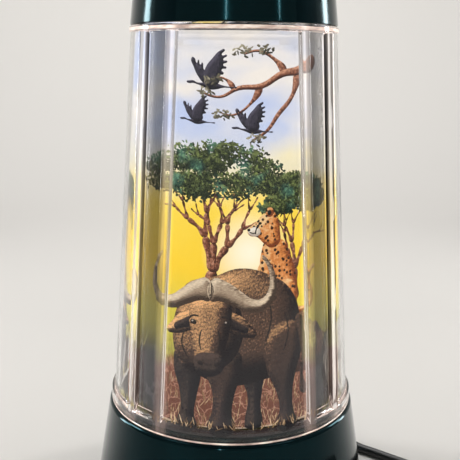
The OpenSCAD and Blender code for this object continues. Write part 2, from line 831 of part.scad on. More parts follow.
module cap_profile(inset) {
    skirt_r = cap_rim_r - cap_taper;
    skirt_z = cap_z + cap_skirt;
    round_r = cap_shoulder - inset;
    crown_z = cap_top - 1.6 - inset;
    shoulder_z = crown_z - round_r;
    polygon(concat(
        inset > 0 ? [[0, cap_z - 1], [cap_rim_r - inset, cap_z - 1]] : [[0, cap_z]],
        inset > 0 ? [[cap_rim_r - inset, cap_z]] : arc(cap_rim_r - rim_round, cap_z + rim_round, rim_round, -90, 0, 5),
        [[skirt_r - inset, min(skirt_z, shoulder_z)]],
        arc(skirt_r - inset - round_r, shoulder_z, round_r, 8, 82, 8),
        [[slot_out + 3, cap_top - 0.6 - inset], [0, cap_top - inset]]
    ));
}

module cap() color(gloss_green) {
    difference() {
        union() {
            difference() {
                rotate_extrude() cap_profile(0);
                rotate_extrude() cap_profile(cap_wall);
            }
            around(3, 30)
                translate([baffle_screw_circle, 0, baffle_z + baffle_t])
                    cylinder(r = cap_boss_r, h = cap_top - 2.5 - baffle_z - baffle_t);
        }
        around(cap_slots, 180 / cap_slots)
            translate([slot_in, -cap_slot_w / 2, cap_top - cap_wall - 4])
                cube([slot_out - slot_in, cap_slot_w, cap_wall + 6]);
        around(3, 30)
            translate([baffle_screw_circle, 0, baffle_z])
                cylinder(r = screw_r - 0.1, h = baffle_drop - cap_wall - 1);
    }
}

module heat_baffle() color(steel) {
    difference() {
        union() {
            translate([0, 0, baffle_z]) cylinder(r = baffle_r, h = baffle_t);
            ring(baffle_r, baffle_r - baffle_t, baffle_z - 2.5, 3);
        }
        around(3, 30)
            translate([baffle_screw_circle, 0, baffle_z - 1]) cylinder(r = screw_r + 0.15, h = baffle_t + 2);
    }
}

module baffle_screws() color(steel) {
    around(3, 30)
        translate([baffle_screw_circle, 0, baffle_z]) screw_up(baffle_drop - cap_wall - 3);
}

// ---------------------------------------------------------------- cord

cord_r = cord_d / 2;
lie = cord_r + 0.1;
switch_x = 130;
switch_y = -30;
switch_end_y = switch_y - switch_l;
switch_mid_z = switch_h / 2;
coil_x = 78;
coil_y = -108;
coil_out_r = 43;
coil_pitch = 5.9;
coil_turns = 7.25;
coil_in_r = coil_out_r - coil_pitch * coil_turns / 2;
tie_t = 0.7;
coil_z = cord_r + tie_t + 0.1;
coil_top_z = coil_z + coil_pitch;
coil_rings = 24;
plug_x = 39;
plug_y = -148;
plug_z = plug_h / 2 + 0.5;
relief_end_y = base_r(cord_exit_z) + relief_l;

// Centre line of the cord from the strain relief to the switch, chosen by hand.
near_route = [
    [0, relief_end_y, cord_exit_z], [0, 111, 9.5], [3, 122, 8], [11, 131, 5.6], [23, 135, 3.6],
    [36, 133, lie], [48, 126, lie], [57, 115, lie], [62, 102, lie], [65.5, 88, lie], [69, 74, lie],
    [72.5, 60, lie], [76, 47, lie], [82, 35, lie], [91, 27.2, lie], [100, 19.4, lie],
    [109, 11.5, lie], [117.5, 3.5, lie], [124, -6, 3.2], [128.3, -17, 5.2],
    [switch_x, switch_y, switch_mid_z]
];
// From the switch to the coil.
second_route = [
    [switch_x, switch_end_y, switch_mid_z], [128, -86, 5.6], [123, -93, 4.4],
    [coil_x + coil_out_r, coil_y + cord_d, coil_z]
];
// From the coil to the plug.
plug_route = [
    [coil_x - cord_d, coil_y - coil_out_r, coil_top_z], [61, -150.6, 8.9], [50, -148.8, 8.3],
    [plug_x, plug_y, plug_z]
];

// Points along the coil: in on the lower layer, up in half a turn, and out on the upper one.
function coil_radius(t) = coil_in_r + (coil_out_r - coil_in_r) * abs(1 - 2 * t);
function ease(t) = t <= 0 ? 0 : t >= 1 ? 1 : t * t * (3 - 2 * t);
function coil_height(t) = coil_z + coil_pitch * ease((t - 0.5) * coil_turns * 2 + 0.5);
coil_steps = coil_rings * coil_turns;
coil_line = concat(
    [[coil_x + coil_out_r, coil_y + cord_d, coil_z]],
    [for (i = [0 : coil_steps])
        let (t = i / coil_steps, a = -360 * coil_turns * t)
        [coil_x + coil_radius(t) * cos(a), coil_y + coil_radius(t) * sin(a), coil_height(t)]],
    [[coil_x - cord_d, coil_y - coil_out_r, coil_top_z]]
);

function unit(v) = v / norm(v);
function tangent(p, i, first, last) =
    i == 0 ? unit(first) : i == len(p) - 1 ? unit(last) : unit(unit(p[i + 1] - p[i]) + unit(p[i] - p[i - 1]));

// A round tube with its rings square to the line, as one closed mesh of triangles.
module tube(line, r, sides, first, last) {
    count = len(line);
    points = [
        for (i = [0 : count - 1])
            let (
                t = tangent(line, i, first, last),
                across = unit(cross(t, [0, 0, 1])),
                rise = cross(across, t)
            )
            for (k = [0 : sides - 1])
                let (a = 360 * (k + 0.5) / sides)
                line[i] + r * (cos(a) * across + sin(a) * rise)
    ];
    walls = [
        for (i = [0 : count - 2], k = [0 : sides - 1])
            let (a = i * sides + k, b = i * sides + (k + 1) % sides, c = a + sides, d = b + sides)
            each [[a, c, b], [b, c, d]]
    ];
    caps = [
        for (k = [1 : sides - 2])
            each [[0, k, k + 1], [(count - 1) * sides, (count - 1) * sides + k + 1, (count - 1) * sides + k]]
    ];
    polyhedron(points = points, faces = concat(walls, caps));
}

module cord_near_run() color(black_rubber) {
    tube(near_route, cord_r, 8, [0, 1, 0], [0, -1, 0]);
}

module cord_second_run() color(black_rubber) {
    tube(second_route, cord_r, 8, [0, -1, 0], [0, -1, 0]);
}

module cord_coil() color(black_rubber) {
    tube(coil_line, cord_r, 6, [0, -1, 0], [-1, 0, 0]);
}

module plug_lead() color(black_rubber) {
    tube(plug_route, cord_r, 8, [-1, 0, 0], [-1, 0, 0]);
}

// Least distance between two turns of the coil, less the cord's diameter.
coil_gap = min([
    for (i = [0 : 3 : coil_steps - coil_rings / 2], j = [i + coil_rings / 2 : 2 : coil_steps])
        norm(coil_line[i + 1] - coil_line[j + 1])
]) - cord_d;
echo(coil_gap = coil_gap, coil_length = 2 * PI * coil_turns * (coil_in_r + coil_out_r) / 2);

// Tie: a flat band round the bundle of turns.
module coil_tie() color([0.1, 0.1, 0.1]) {
    tie_w = 5;
    clear_gap = 0.3;
    inner = coil_in_r - cord_r - clear_gap;
    outer = coil_out_r + cord_r + clear_gap;
    top = coil_top_z + cord_r + clear_gap;
    low = coil_z - cord_r - clear_gap / 2;
    translate([coil_x, coil_y, 0]) rotate([0, 0, 150])
        difference() {
            translate([inner - tie_t, -tie_w / 2, low - tie_t / 2])
                cube([outer - inner + 2 * tie_t, tie_w, top - low + 1.5 * tie_t]);
            translate([inner, -tie_w, low + eps]) cube([outer - inner, 2 * tie_w, top - low]);
        }
}

// ---------------------------------------------------------------- in-line switch

switch_split = 0.15;
case_wall = 1.6;
wheel_x = switch_x + switch_w / 2 - wheel_r + 2.4;
wheel_y = switch_y - switch_l / 2;
wheel_gap = 0.4;
axle_r = 1.5;
axle_play = 0.05;
case_round = 5;

module switch_outline(inset) {
    length = switch_l - 2 * inset;
    width = switch_w - 2 * inset;
    r = case_round - inset;
    translate([switch_x, switch_y - switch_l / 2]) {
        square([width, length - 2 * r], center = true);
        square([width - 2 * r, length], center = true);
        for (sx = [-1, 1], sy = [-1, 1])
            translate([sx * (width / 2 - r), sy * (length / 2 - r)]) circle(r = r, $fn = 48);
    }
}

module switch_half(z, h) {
    difference() {
        translate([0, 0, z]) linear_extrude(height = h) switch_outline(0);
        translate([wheel_x, wheel_y, switch_mid_z - wheel_t / 2 - wheel_gap])
            cylinder(r = wheel_r + wheel_gap, h = wheel_t + 2 * wheel_gap);
        translate([wheel_x, wheel_y, -1]) cylinder(r = axle_r, h = switch_h + 2);
        switch_screw_places()
            translate([0, 0, -1]) cylinder(r = switch_screw_r, h = switch_h + 2);
        switch_screw_places()
            translate([0, 0, switch_h - switch_head_h]) cylinder(r = switch_head_r, h = switch_head_h + 1);
    }
}

switch_screw_r = 1;
switch_head_r = 2;
switch_head_h = 1.2;

module switch_screw_places() {
    for (sy = [-1, 1])
        translate([switch_x - 4, wheel_y + sy * (switch_l / 2 - 8), 0]) children();
}

module switch_lower_half() color(black_rubber) {
    switch_half(0, switch_mid_z - switch_split / 2);
}

module switch_upper_half() color(black_rubber) {
    switch_half(switch_mid_z + switch_split / 2, switch_mid_z - switch_split / 2);
}

module switch_screws() color(steel) {
    switch_screw_places() {
        translate([0, 0, 2]) cylinder(r = switch_screw_r, h = switch_h - switch_head_h - 2);
        translate([0, 0, switch_h - switch_head_h]) cylinder(r = switch_head_r, h = switch_head_h - 0.2);
    }
}

module thumb_wheel() color([0.12, 0.12, 0.12]) {
    teeth = 24;
    translate([wheel_x, wheel_y, switch_mid_z - wheel_t / 2])
        difference() {
            cylinder(r = wheel_r, h = wheel_t);
            translate([0, 0, -1]) cylinder(r = axle_r + axle_play, h = wheel_t + 2);
            around(teeth) translate([wheel_r + 0.3, 0, -1]) cylinder(r = 0.8, h = wheel_t + 2, $fn = 24);
        }
}

module wheel_axle() color(steel) {
    translate([wheel_x, wheel_y, 1.5]) cylinder(r = axle_r, h = switch_h - 3);
}

// ---------------------------------------------------------------- plug

blade_gap = 12.7;
blade_l = 17;
blade_w = 6.4;
blade_t = 1.5;
boot_l = 14;

module plug_body() color(black_rubber) {
    body_x = plug_x - boot_l;
    difference() {
        union() {
            translate([body_x, plug_y, plug_z]) rotate([0, 90, 0])
                cylinder(r1 = cord_r + 2.6, r2 = cord_r + 0.7, h = boot_l);
            for (i = [0 : 2])
                translate([body_x + 3 + 3.6 * i, plug_y, plug_z]) rotate([0, 90, 0])
                    cylinder(r = cord_r + 2.7 - 0.4 * i, h = 1.6);
            translate([body_x, plug_y, plug_z]) rotate([0, -90, 0])
                linear_extrude(height = plug_l) plug_section();
        }
        for (side = [-1, 1])
            translate([body_x - plug_l - 1, plug_y + side * blade_gap / 2 - blade_t / 2, plug_z - blade_w / 2])
                cube([9, blade_t, blade_w]);
    }
}

module plug_section() {
    r = 5;
    square([plug_h, plug_w - 2 * r], center = true);
    square([plug_h - 2 * r, plug_w], center = true);
    for (sx = [-1, 1], sy = [-1, 1])
        translate([sx * (plug_h / 2 - r), sy * (plug_w / 2 - r)]) circle(r = r, $fn = 48);
}

module plug_blades() color(brass) {
    face_x = plug_x - boot_l - plug_l;
    for (side = [-1, 1])
        difference() {
            translate([face_x - blade_l, plug_y + side * blade_gap / 2 - blade_t / 2, plug_z - blade_w / 2])
                cube([blade_l + 8, blade_t, blade_w]);
            translate([face_x - blade_l + 4, plug_y + side * blade_gap / 2, plug_z]) rotate([90, 0, 0])
                cylinder(r = 1.5, h = 6, center = true);
        }
}

base_housing();
base_floor();
rubber_feet();
floor_screws();
reflector_pan();
pan_screws();
holder_bracket();
bracket_screws();
holder_nipple();
holder_nut();
lampholder_body();
lampholder_screw_shell();
holder_contact();
bulb_cap();
bulb_glass();
filament_mount();
supply_lead();
strain_relief();
pivot_bail();
needle_hub();
pivot_needle();
heat_wheel();
bearing_cup();
drum_film();
drum_top_hoop();
drum_foot_hoop();
outer_shell();
picture_film();
film_frame();
cap();
heat_baffle();
baffle_screws();
cord_near_run();
switch_lower_half();
switch_upper_half();
switch_screws();
thumb_wheel();
wheel_axle();
cord_second_run();
cord_coil();
coil_tie();
plug_lead();
plug_body();
plug_blades();
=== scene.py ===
# %% [markdown]
# A rotating motion lamp, dressed for its photograph. A bulb lights two translucent prints. The inner
# one is a drum that turns on a needle, and the outer one stands still inside a clear ribbed shell.
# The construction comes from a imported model, which is loaded first and isn't moved. Everything below
# adds what that model can't hold: finishes, printed pictures, the cord's smooth run and small trim.

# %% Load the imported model
import json
import math
import random

import bmesh
import bpy
from mathutils import Matrix, Vector
from mathutils.kdtree import KDTree


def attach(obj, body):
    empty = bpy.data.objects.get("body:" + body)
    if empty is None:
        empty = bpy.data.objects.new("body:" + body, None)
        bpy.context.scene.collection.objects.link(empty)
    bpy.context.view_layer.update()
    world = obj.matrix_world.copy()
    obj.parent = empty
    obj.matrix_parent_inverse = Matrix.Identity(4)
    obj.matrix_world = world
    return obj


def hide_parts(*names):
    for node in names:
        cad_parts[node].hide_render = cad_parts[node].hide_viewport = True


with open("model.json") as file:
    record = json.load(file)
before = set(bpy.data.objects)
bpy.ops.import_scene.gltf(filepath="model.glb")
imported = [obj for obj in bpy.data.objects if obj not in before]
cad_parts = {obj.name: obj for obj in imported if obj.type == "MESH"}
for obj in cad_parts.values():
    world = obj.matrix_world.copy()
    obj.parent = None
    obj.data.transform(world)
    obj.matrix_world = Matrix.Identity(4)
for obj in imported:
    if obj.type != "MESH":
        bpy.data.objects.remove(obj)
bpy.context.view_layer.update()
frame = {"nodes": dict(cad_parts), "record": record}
nodes = frame["nodes"]
MM = 0.001
print("CAD nodes:", len(nodes))

# %% [markdown]
# The camera repeats the photograph's view. Its place comes from the ellipses that the base, the
# collar and the cap make in the picture. A camera could be aimed with a constraint, but three plain
# turns keep the small roll of a hand-held shot.

# %% Camera
HEADING = -2.44   # degrees the camera turns left from looking along +Y
PITCH = -12.43    # degrees it looks down
ROLL = 0.51       # degrees it leans
eye = bpy.data.cameras.new("photo_camera")
eye.sensor_width = 36
eye.lens = 59.4
camera = bpy.data.objects.new("photo_camera", eye)
camera.matrix_world = (
    Matrix.Translation((-18.1 * MM, -398.6 * MM, 238.2 * MM))
    @ Matrix.Rotation(math.radians(HEADING), 4, "Z")
    @ Matrix.Rotation(math.radians(90 + PITCH), 4, "X")
    @ Matrix.Rotation(math.radians(ROLL), 4, "Z")
)
bpy.context.scene.collection.objects.link(camera)
bpy.context.scene.camera = camera
print("camera height, mm:", round(camera.location.z / MM, 1))

# %% [markdown]
# Helpers that every piece uses. A finished piece sits at the origin with its place in its mesh, as
# the loaded parts do, so a pattern on Object coordinates stays where it is.

# %% Making a piece
def shade_smooth(mesh, angle=35):
    """Smooth faces, with the edges sharper than the angle kept crisp."""
    for face in mesh.polygons:
        face.use_smooth = True
    mesh.set_sharp_from_angle(angle=math.radians(angle))


def add_piece(name, shape, body, material, smooth=35):
    """Turns a bmesh or a mesh into an object that rides on a body."""
    if isinstance(shape, bmesh.types.BMesh):
        mesh = bpy.data.meshes.new(name)
        shape.to_mesh(mesh)
        shape.free()
    else:
        mesh = shape
        mesh.name = name
    if not mesh.materials:
        mesh.materials.append(material)
    if smooth:
        shade_smooth(mesh, smooth)
    piece = bpy.data.objects.new(name, mesh)
    bpy.context.scene.collection.objects.link(piece)
    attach(piece, body)
    return piece


# %% [markdown]
# The cord leaves the base at the back, comes round the right side in the photograph, and ends in a
# coil outside the picture. A curve with a round bevel is the plainest way to a smooth cord, because
# its own line is the cord's centre line. The points repeat the route of the construction.

# %% The cord's route, in millimetres
CORD_R = 2.7
LIE = CORD_R + 0.1
NEAR_ROUTE = [
    (0, 101, 10), (0, 111, 9.5), (3, 122, 8), (11, 131, 5.6), (23, 135, 3.6), (36, 133, LIE),
    (48, 126, LIE), (57, 115, LIE), (62, 102, LIE), (65.5, 88, LIE), (69, 74, LIE),
    (72.5, 60, LIE), (76, 47, LIE), (82, 35, LIE), (91, 27.2, LIE), (100, 19.4, LIE),
    (109, 11.5, LIE), (117.5, 3.5, LIE), (124, -6, 3.2), (128.3, -17, 5.2), (130, -30, 7),
]
COIL_X, COIL_Y = 78, -108
COIL_OUT, COIL_PITCH, COIL_TURNS = 43, 5.9, 7.25
COIL_IN = COIL_OUT - COIL_PITCH * COIL_TURNS / 2
COIL_Z = CORD_R + 0.8
COIL_TOP = COIL_Z + COIL_PITCH
POINTS_PER_TURN = 24


def coil_points():
    """In on the lower layer, up in half a turn, and out again on the upper layer."""
    count = int(POINTS_PER_TURN * COIL_TURNS)
    points = []
    for i in range(count + 1):
        t = i / count
        a = -2 * math.pi * COIL_TURNS * t
        r = COIL_IN + (COIL_OUT - COIL_IN) * abs(1 - 2 * t)
        rise = min(max((t - 0.5) * COIL_TURNS * 2 + 0.5, 0), 1)
        z = COIL_Z + COIL_PITCH * rise * rise * (3 - 2 * rise)
        points.append((COIL_X + r * math.cos(a), COIL_Y + r * math.sin(a), z))
    return points


FAR_ROUTE = [
    (130, -76, 7), (128, -86, 5.6), (123, -93, 4.4), (COIL_X + COIL_OUT, COIL_Y + 5.4, COIL_Z),
    *coil_points(),
    (COIL_X - 5.4, COIL_Y - COIL_OUT, COIL_TOP), (61, -150.6, 8.9), (50, -148.8, 8.3), (39, -148, 8),
]


def route_length(route):
    return sum((Vector(b) - Vector(a)).length for a, b in zip(route, route[1:])) * MM


print("near run, m:", round(route_length(NEAR_ROUTE), 3), " far run, m:", round(route_length(FAR_ROUTE), 3))

# %% [markdown]
# Shading helpers. Most finishes are one Principled shader fed by a few procedural nodes. The first
# helper makes a node, and takes plain values or other nodes' sockets as its inputs, which keeps each
# material down to a few readable lines. The others are short names for the nodes used most.

# %% Node helpers
def node(tree, kind, out=0, **values):
    """Adds a shader node. Keys with a capital are its input sockets, and the others its settings."""
    made = tree.nodes.new("ShaderNode" + kind)
    for key, value in values.items():
        if key[0].islower():
            setattr(made, key, value)
            continue
        socket = made.inputs[int(key[1:]) if key[1:].isdigit() else key.replace("_", " ")]
        if isinstance(value, bpy.types.NodeSocket):
            tree.links.new(value, socket)
        else:
            socket.default_value = value
    return made.outputs[out]


def maths(tree, operation, *values):
    """A Math node, from its operation and its values in order."""
    return node(tree, "Math", operation=operation, **{f"I{i}": value for i, value in enumerate(values)})


def remap(tree, value, low=0.0, high=1.0, to_low=0.0, to_high=1.0):
    """A Map Range node, which clamps."""
    return node(tree, "MapRange", Value=value, From_Min=low, From_Max=high, To_Min=to_low, To_Max=to_high)


def axis(tree, vector, name):
    """One axis of a vector."""
    return node(tree, "SeparateXYZ", out=name, Vector=vector)


def noise(tree, point, scale, detail=2.0, rough=0.5, out=0):
    return node(tree, "TexNoise", out=out, Vector=point, Scale=scale, Detail=detail, Roughness=rough)


def feed(target, **sockets):
    """Links sockets into a node's inputs, by their names."""
    for key, socket in sockets.items():
        target.id_data.links.new(socket, target.inputs[key.replace("_", " ")])


def ramp(tree, factor, *stops):
    """A colour ramp from (position, colour) stops."""
    made = tree.nodes.new("ShaderNodeValToRGB")
    scale = made.color_ramp
    while len(scale.elements) < len(stops):
        scale.elements.new(1.0)
    for element, (position, colour) in zip(scale.elements, stops):
        element.position = position
        element.color = (*colour, 1)
    tree.links.new(factor, made.inputs["Fac"])
    return made.outputs["Color"]


def mix(tree, factor, first, second, blend="MIX"):
    """Mixes two colours."""
    made = tree.nodes.new("ShaderNodeMix")
    made.data_type = "RGBA"
    made.blend_type = blend
    for socket, value in zip((made.inputs[0], made.inputs[6], made.inputs[7]), (factor, first, second)):
        if isinstance(value, bpy.types.NodeSocket):
            tree.links.new(value, socket)
        else:
            socket.default_value = value if isinstance(value, (int, float)) else (*value, 1)
    return made.outputs[2]


def finish(name, colour, roughness, **sockets):
    """A material with its constants on the Principled shader's own sockets."""
    material = bpy.data.materials.new(name)
    material.use_nodes = True
    shader = material.node_tree.nodes["Principled BSDF"]
    shader.inputs["Base Color"].default_value = (*colour, 1)
    shader.inputs["Roughness"].default_value = roughness
    for key, value in sockets.items():
        shader.inputs[key.replace("_", " ")].default_value = value
    return material, material.node_tree, shader


def bump(tree, shader, height, distance, strength=1.0):
    """Feeds a height into the shader's normal."""
    feed(shader, Normal=node(tree, "Bump", Height=height, Distance=distance, Strength=strength))


def object_point(tree, scale=(1, 1, 1)):
    """Object coordinates, stretched by the scale."""
    point = node(tree, "TexCoord", out="Object")
    return node(tree, "Mapping", Vector=point, Scale=scale)


# %% [markdown]
# Two surface effects are shared by many parts, so each is a node group, built once: the faint
# mottle of moulded plastic and the fine drawn lines of metal.

# %% Shared effects
def effect_group(name, inputs, outputs):
    group = bpy.data.node_groups.new(name, "ShaderNodeTree")
    for key, default in inputs.items():
        kind = "NodeSocketVector" if isinstance(default, tuple) else "NodeSocketFloat"
        socket = group.interface.new_socket(name=key, in_out="INPUT", socket_type=kind)
        socket.default_value = default
    for key in outputs:
        kind = "NodeSocketColor" if key == "Colour" else "NodeSocketFloat"
        group.interface.new_socket(name=key, in_out="OUTPUT", socket_type=kind)
    return group, group.nodes.new("NodeGroupInput"), group.nodes.new("NodeGroupOutput")


def use_group(tree, group, **values):
    """Places a group, and returns its output sockets."""
    made = tree.nodes.new("ShaderNodeGroup")
    made.node_tree = group
    for key, value in values.items():
        if isinstance(value, bpy.types.NodeSocket):
            tree.links.new(value, made.inputs[key])
        else:
            made.inputs[key].default_value = value
    return made.outputs


mottle_group, ins, outs = effect_group(
    "moulded_mottle", {"Point": (0.0, 0.0, 0.0), "Scale": 900.0}, ("Height", "Smudge"))
grain = noise(mottle_group, ins.outputs["Point"], ins.outputs["Scale"], 3.0)
broad = noise(mottle_group, ins.outputs["Point"], 45.0, 4.0, 0.62)
feed(outs, Height=grain)
feed(outs, Smudge=remap(mottle_group, broad, 0.35, 0.7))

drawn_group, ins, outs = effect_group(
    "drawn_lines", {"Point": (0.0, 0.0, 0.0), "Scale": 400.0}, ("Height", "Streak"))
lines = noise(drawn_group, ins.outputs["Point"], ins.outputs["Scale"], 6.0)
feed(outs, Height=lines)
feed(outs, Streak=remap(drawn_group, lines, 0.3, 0.7))
print("shared effects:", mottle_group.name, drawn_group.name)

# %% [markdown]
# The studio is a pale floor that curves up into a wall behind the lamp and another far in front of
# it, with soft lights and a grey sky. Tall lights at each side draw the long upright reflections that
# the polished cap and base show, and the sky is dim in front, so the clear shell reflects little.

# %% Floor, backdrop and lights
STAGE_HALF = 9      # half the floor's width, m
FLOOR_FRONT, FLOOR_BACK = -3, 0.8
BEND, WALL = 0.6, 2.4   # radius of the curve up, and the height of the wall above it
PAPER = (0.62, 0.6, 0.57)


def made_points(out):
    """The vertices that an extrusion made."""
    return [g for g in out["geom"] if isinstance(g, bmesh.types.BMVert)]


def make_stage():
    """A floor that curves up into a wall behind the lamp, and into another far in front of it."""
    bm = bmesh.new()
    front = bm.edges.new([bm.verts.new((x, FLOOR_FRONT, 0)) for x in (-STAGE_HALF, STAGE_HALF)])
    out = bmesh.ops.extrude_edge_only(bm, edges=[front])
    bmesh.ops.translate(bm, verts=made_points(out), vec=(0, FLOOR_BACK - FLOOR_FRONT, 0))
    back = next(g for g in out["geom"] if isinstance(g, bmesh.types.BMEdge))
    for edge, y, side in ((front, FLOOR_FRONT, -1), (back, FLOOR_BACK, 1)):
        out = bmesh.ops.spin(bm, geom=[edge, *edge.verts], cent=(0, y, BEND), axis=(side, 0, 0),
                             angle=math.radians(90), steps=16)
        rim = [g for g in out["geom_last"] if isinstance(g, bmesh.types.BMEdge)]
        out = bmesh.ops.extrude_edge_only(bm, edges=rim)
        bmesh.ops.translate(bm, verts=made_points(out), vec=(0, 0, WALL))
    bmesh.ops.recalc_face_normals(bm, faces=bm.faces[:])
    mesh = bpy.data.meshes.new("backdrop")
    bm.to_mesh(mesh)
    bm.free()
    shade_smooth(mesh, 60)
    sweep = bpy.data.objects.new("backdrop", mesh)
    bpy.context.scene.collection.objects.link(sweep)
    return sweep


backdrop = make_stage()
paper, tree, shader = finish(
    "backdrop_paper", PAPER, 0.9, Specular_IOR_Level=0.1, Emission_Color=(*PAPER, 1))
depth = axis(tree, object_point(tree), "Y")
far = maths(tree, "MAXIMUM", remap(tree, depth, 0.3, 1.4), remap(tree, depth, -1.0, -3.0, 0.0, 0.6))
rays = node(tree, "LightPath", out="Is Camera Ray")
for other in ("Is Glossy Ray", "Is Transmission Ray"):
    rays = maths(tree, "MAXIMUM", rays, node(tree, "LightPath", out=other))
feed(shader, Emission_Strength=maths(tree, "MULTIPLY", maths(tree, "MULTIPLY", far, rays), 0.62))
backdrop.data.materials.append(paper)


def soft_light(name, place, aim, size, power, spread=180):
    lamp = bpy.data.lights.new(name, "AREA")
    lamp.shape = "RECTANGLE"
    lamp.size, lamp.size_y = size
    lamp.energy = power
    lamp.spread = math.radians(spread)
    light = bpy.data.objects.new(name, lamp)
    way = Vector(aim) - Vector(place)
    light.visible_camera = False
    light.matrix_world = Matrix.Translation(place) @ way.to_track_quat("-Z", "Y").to_matrix().to_4x4()
    bpy.context.scene.collection.objects.link(light)
    return light


soft_light("left_panel", (-0.80, 0.28, 0.42), (0, 0, 0.16), (0.14, 0.8), 2.6, 120)
soft_light("right_panel", (0.80, 0.34, 0.42), (0, 0, 0.16), (0.14, 0.8), 2.3, 120)
soft_light("top_panel", (0.0, 0.55, 1.25), (0, 0.42, 0.0), (1.2, 0.9), 12.0)
soft_light("left_slit", (-0.22, -1.15, 0.64), (0, 0, 0.28), (0.022, 0.22), 0.35)
soft_light("right_slit", (0.84, -0.80, 0.66), (0, 0, 0.28), (0.016, 0.22), 0.30)
sky = bpy.data.worlds.new("studio_sky")
bpy.context.scene.world = sky
sky.use_nodes = True
tree = sky.node_tree
tree.nodes["Background"].inputs["Color"].default_value = (0.5, 0.5, 0.5, 1)
front = axis(tree, node(tree, "TexCoord", out="Generated"), "Y")
tree.links.new(
    remap(tree, front, -0.85, -0.1, 0.06, 0.62),
    tree.nodes["Background"].inputs["Strength"])
bpy.context.scene.view_settings.view_transform = "Standard"
print("stage and lights are in place")

# %% [markdown]
# Moulded and rolled surfaces are never one flat colour. The helper below takes the shared mottle and
# uses it three times: a slight change of tone, a change of roughness where hands have smudged the
# surface, and a fine bump. Drawn metal uses long thin lines in place of the mottle.

# %% Textured finishes
def textured(name, colour, roughness, grain=900.0, depth=0.00002, wear=0.12, effect=None,
             stretch=(1, 1, 1), **sockets):
    material, tree, shader = finish(name, colour, roughness, **sockets)
    effect = effect or mottle_group
    parts = use_group(tree, effect, Point=object_point(tree, stretch), Scale=grain)
    mask = parts["Smudge" if effect == mottle_group else "Streak"]
    bump(tree, shader, parts["Height"], depth)
    low, high = ([c * k for c in colour] for k in (1 - wear, 1 + wear))
    feed(shader, Base_Color=mix(tree, mask, low, high))
    feed(shader, Roughness=remap(
        tree, mask, to_low=roughness * (1 - 1.6 * wear), to_high=roughness * (1 + 1.6 * wear)))
    return material


finishes = {}
for name, colour, roughness, extra in (
        ("black_rubber", (0.026, 0.026, 0.027), 0.62, {"grain": 1400.0, "depth": 0.00006}),
        ("cord_sheath", (0.017, 0.017, 0.018), 0.40, {"grain": 1100.0, "depth": 0.00004}),
        ("switch_plastic", (0.020, 0.020, 0.021), 0.46, {"grain": 2600.0, "depth": 0.00008}),
        ("plug_vinyl", (0.022, 0.022, 0.022), 0.44, {"grain": 2000.0, "depth": 0.00005}),
        ("tie_wire", (0.035, 0.035, 0.036), 0.48, {"grain": 1500.0}),
        ("porcelain", (0.80, 0.77, 0.69), 0.16, {"grain": 260.0, "wear": 0.05, "Coat_Weight": 0.4}),
        ("smoke_plastic", (0.030, 0.033, 0.042), 0.24, {"grain": 500.0}),
        ("zinc_screw", (0.66, 0.67, 0.66), 0.30, {"grain": 700.0, "Metallic": 1.0}),
        ("bulb_metal", (0.78, 0.78, 0.79), 0.24, {"grain": 600.0, "Metallic": 1.0}),
        ("brass_parts", (0.66, 0.46, 0.18), 0.26, {"grain": 500.0, "wear": 0.2, "Metallic": 1.0}),
        ("steel_wire", (0.62, 0.63, 0.65), 0.24,
         {"effect": drawn_group, "stretch": (1, 1, 0.05), "grain": 1800.0, "Metallic": 1.0}),
        ("bright_sheet", (0.80, 0.81, 0.82), 0.20,
         {"effect": drawn_group, "stretch": (1, 0.04, 1), "grain": 1200.0, "Metallic": 1.0}),
        ("pressed_aluminium", (0.78, 0.79, 0.81), 0.30,
         {"effect": drawn_group, "stretch": (0.05, 1, 1), "grain": 900.0, "Metallic": 1.0})):
    finishes[name] = textured(name, colour, roughness, **extra)
print("textured finishes:", len(finishes))

# %% [markdown]
# The cap and the base look black until something bright is reflected in them, and then they turn
# teal. A plain dark plastic would reflect white. A nearly metallic shader with a teal colour tints
# its reflections, and a thin clear coat adds the sharp white edge of the polish.

# %% Very dark green gloss
finishes["gloss_green"] = textured(
    "gloss_green", (0.0008, 0.019, 0.024), 0.12, 260.0, 0.00003, 0.16,
    Metallic=0.92, Coat_Weight=0.10, Coat_Roughness=0.04)

# %% [markdown]
# Zinc-plated sheet has spangles: flat crystals, each with its own tone and shine. A Voronoi texture
# gives every cell one random value, which is just that.

# %% Spangled zinc
zinc, tree, shader = finish("zinc_sheet", (0.60, 0.61, 0.62), 0.36, Metallic=1.0)
crystal = node(tree, "TexVoronoi", out="Color", Vector=object_point(tree), Scale=240.0)
tone = axis(tree, crystal, "X")
feed(shader, Base_Color=mix(tree, tone, (0.50, 0.51, 0.53), (0.68, 0.69, 0.70)))
feed(shader, Roughness=remap(tree, tone, to_low=0.26, to_high=0.44))
finishes["zinc_sheet"] = zinc

# %% [markdown]
# Clear plastic is a transmission shader. Light that goes through it to the print would be lost as
# caustics, so its shadow rays pass straight through. Moulded walls are never quite flat, and a slow
# wave in the normal bends the reflections as the real shell does.

# %% Clear shell and bulb glass
def clear(name, colour, roughness, ior, wave, depth):
    material, tree, shader = finish(name, colour, roughness, Transmission_Weight=1.0, IOR=ior)
    ripple = noise(tree, object_point(tree, (1, 1, 0.35)), wave, 2.0)
    bump(tree, shader, ripple, depth, 0.6)
    passing = node(tree, "BsdfTransparent")
    blend = tree.nodes.new("ShaderNodeMixShader")
    tree.links.new(node(tree, "LightPath", out="Is Shadow Ray"), blend.inputs[0])
    tree.links.new(shader.outputs[0], blend.inputs[1])
    tree.links.new(passing, blend.inputs[2])
    tree.links.new(blend.outputs[0], tree.nodes["Material Output"].inputs["Surface"])
    return material


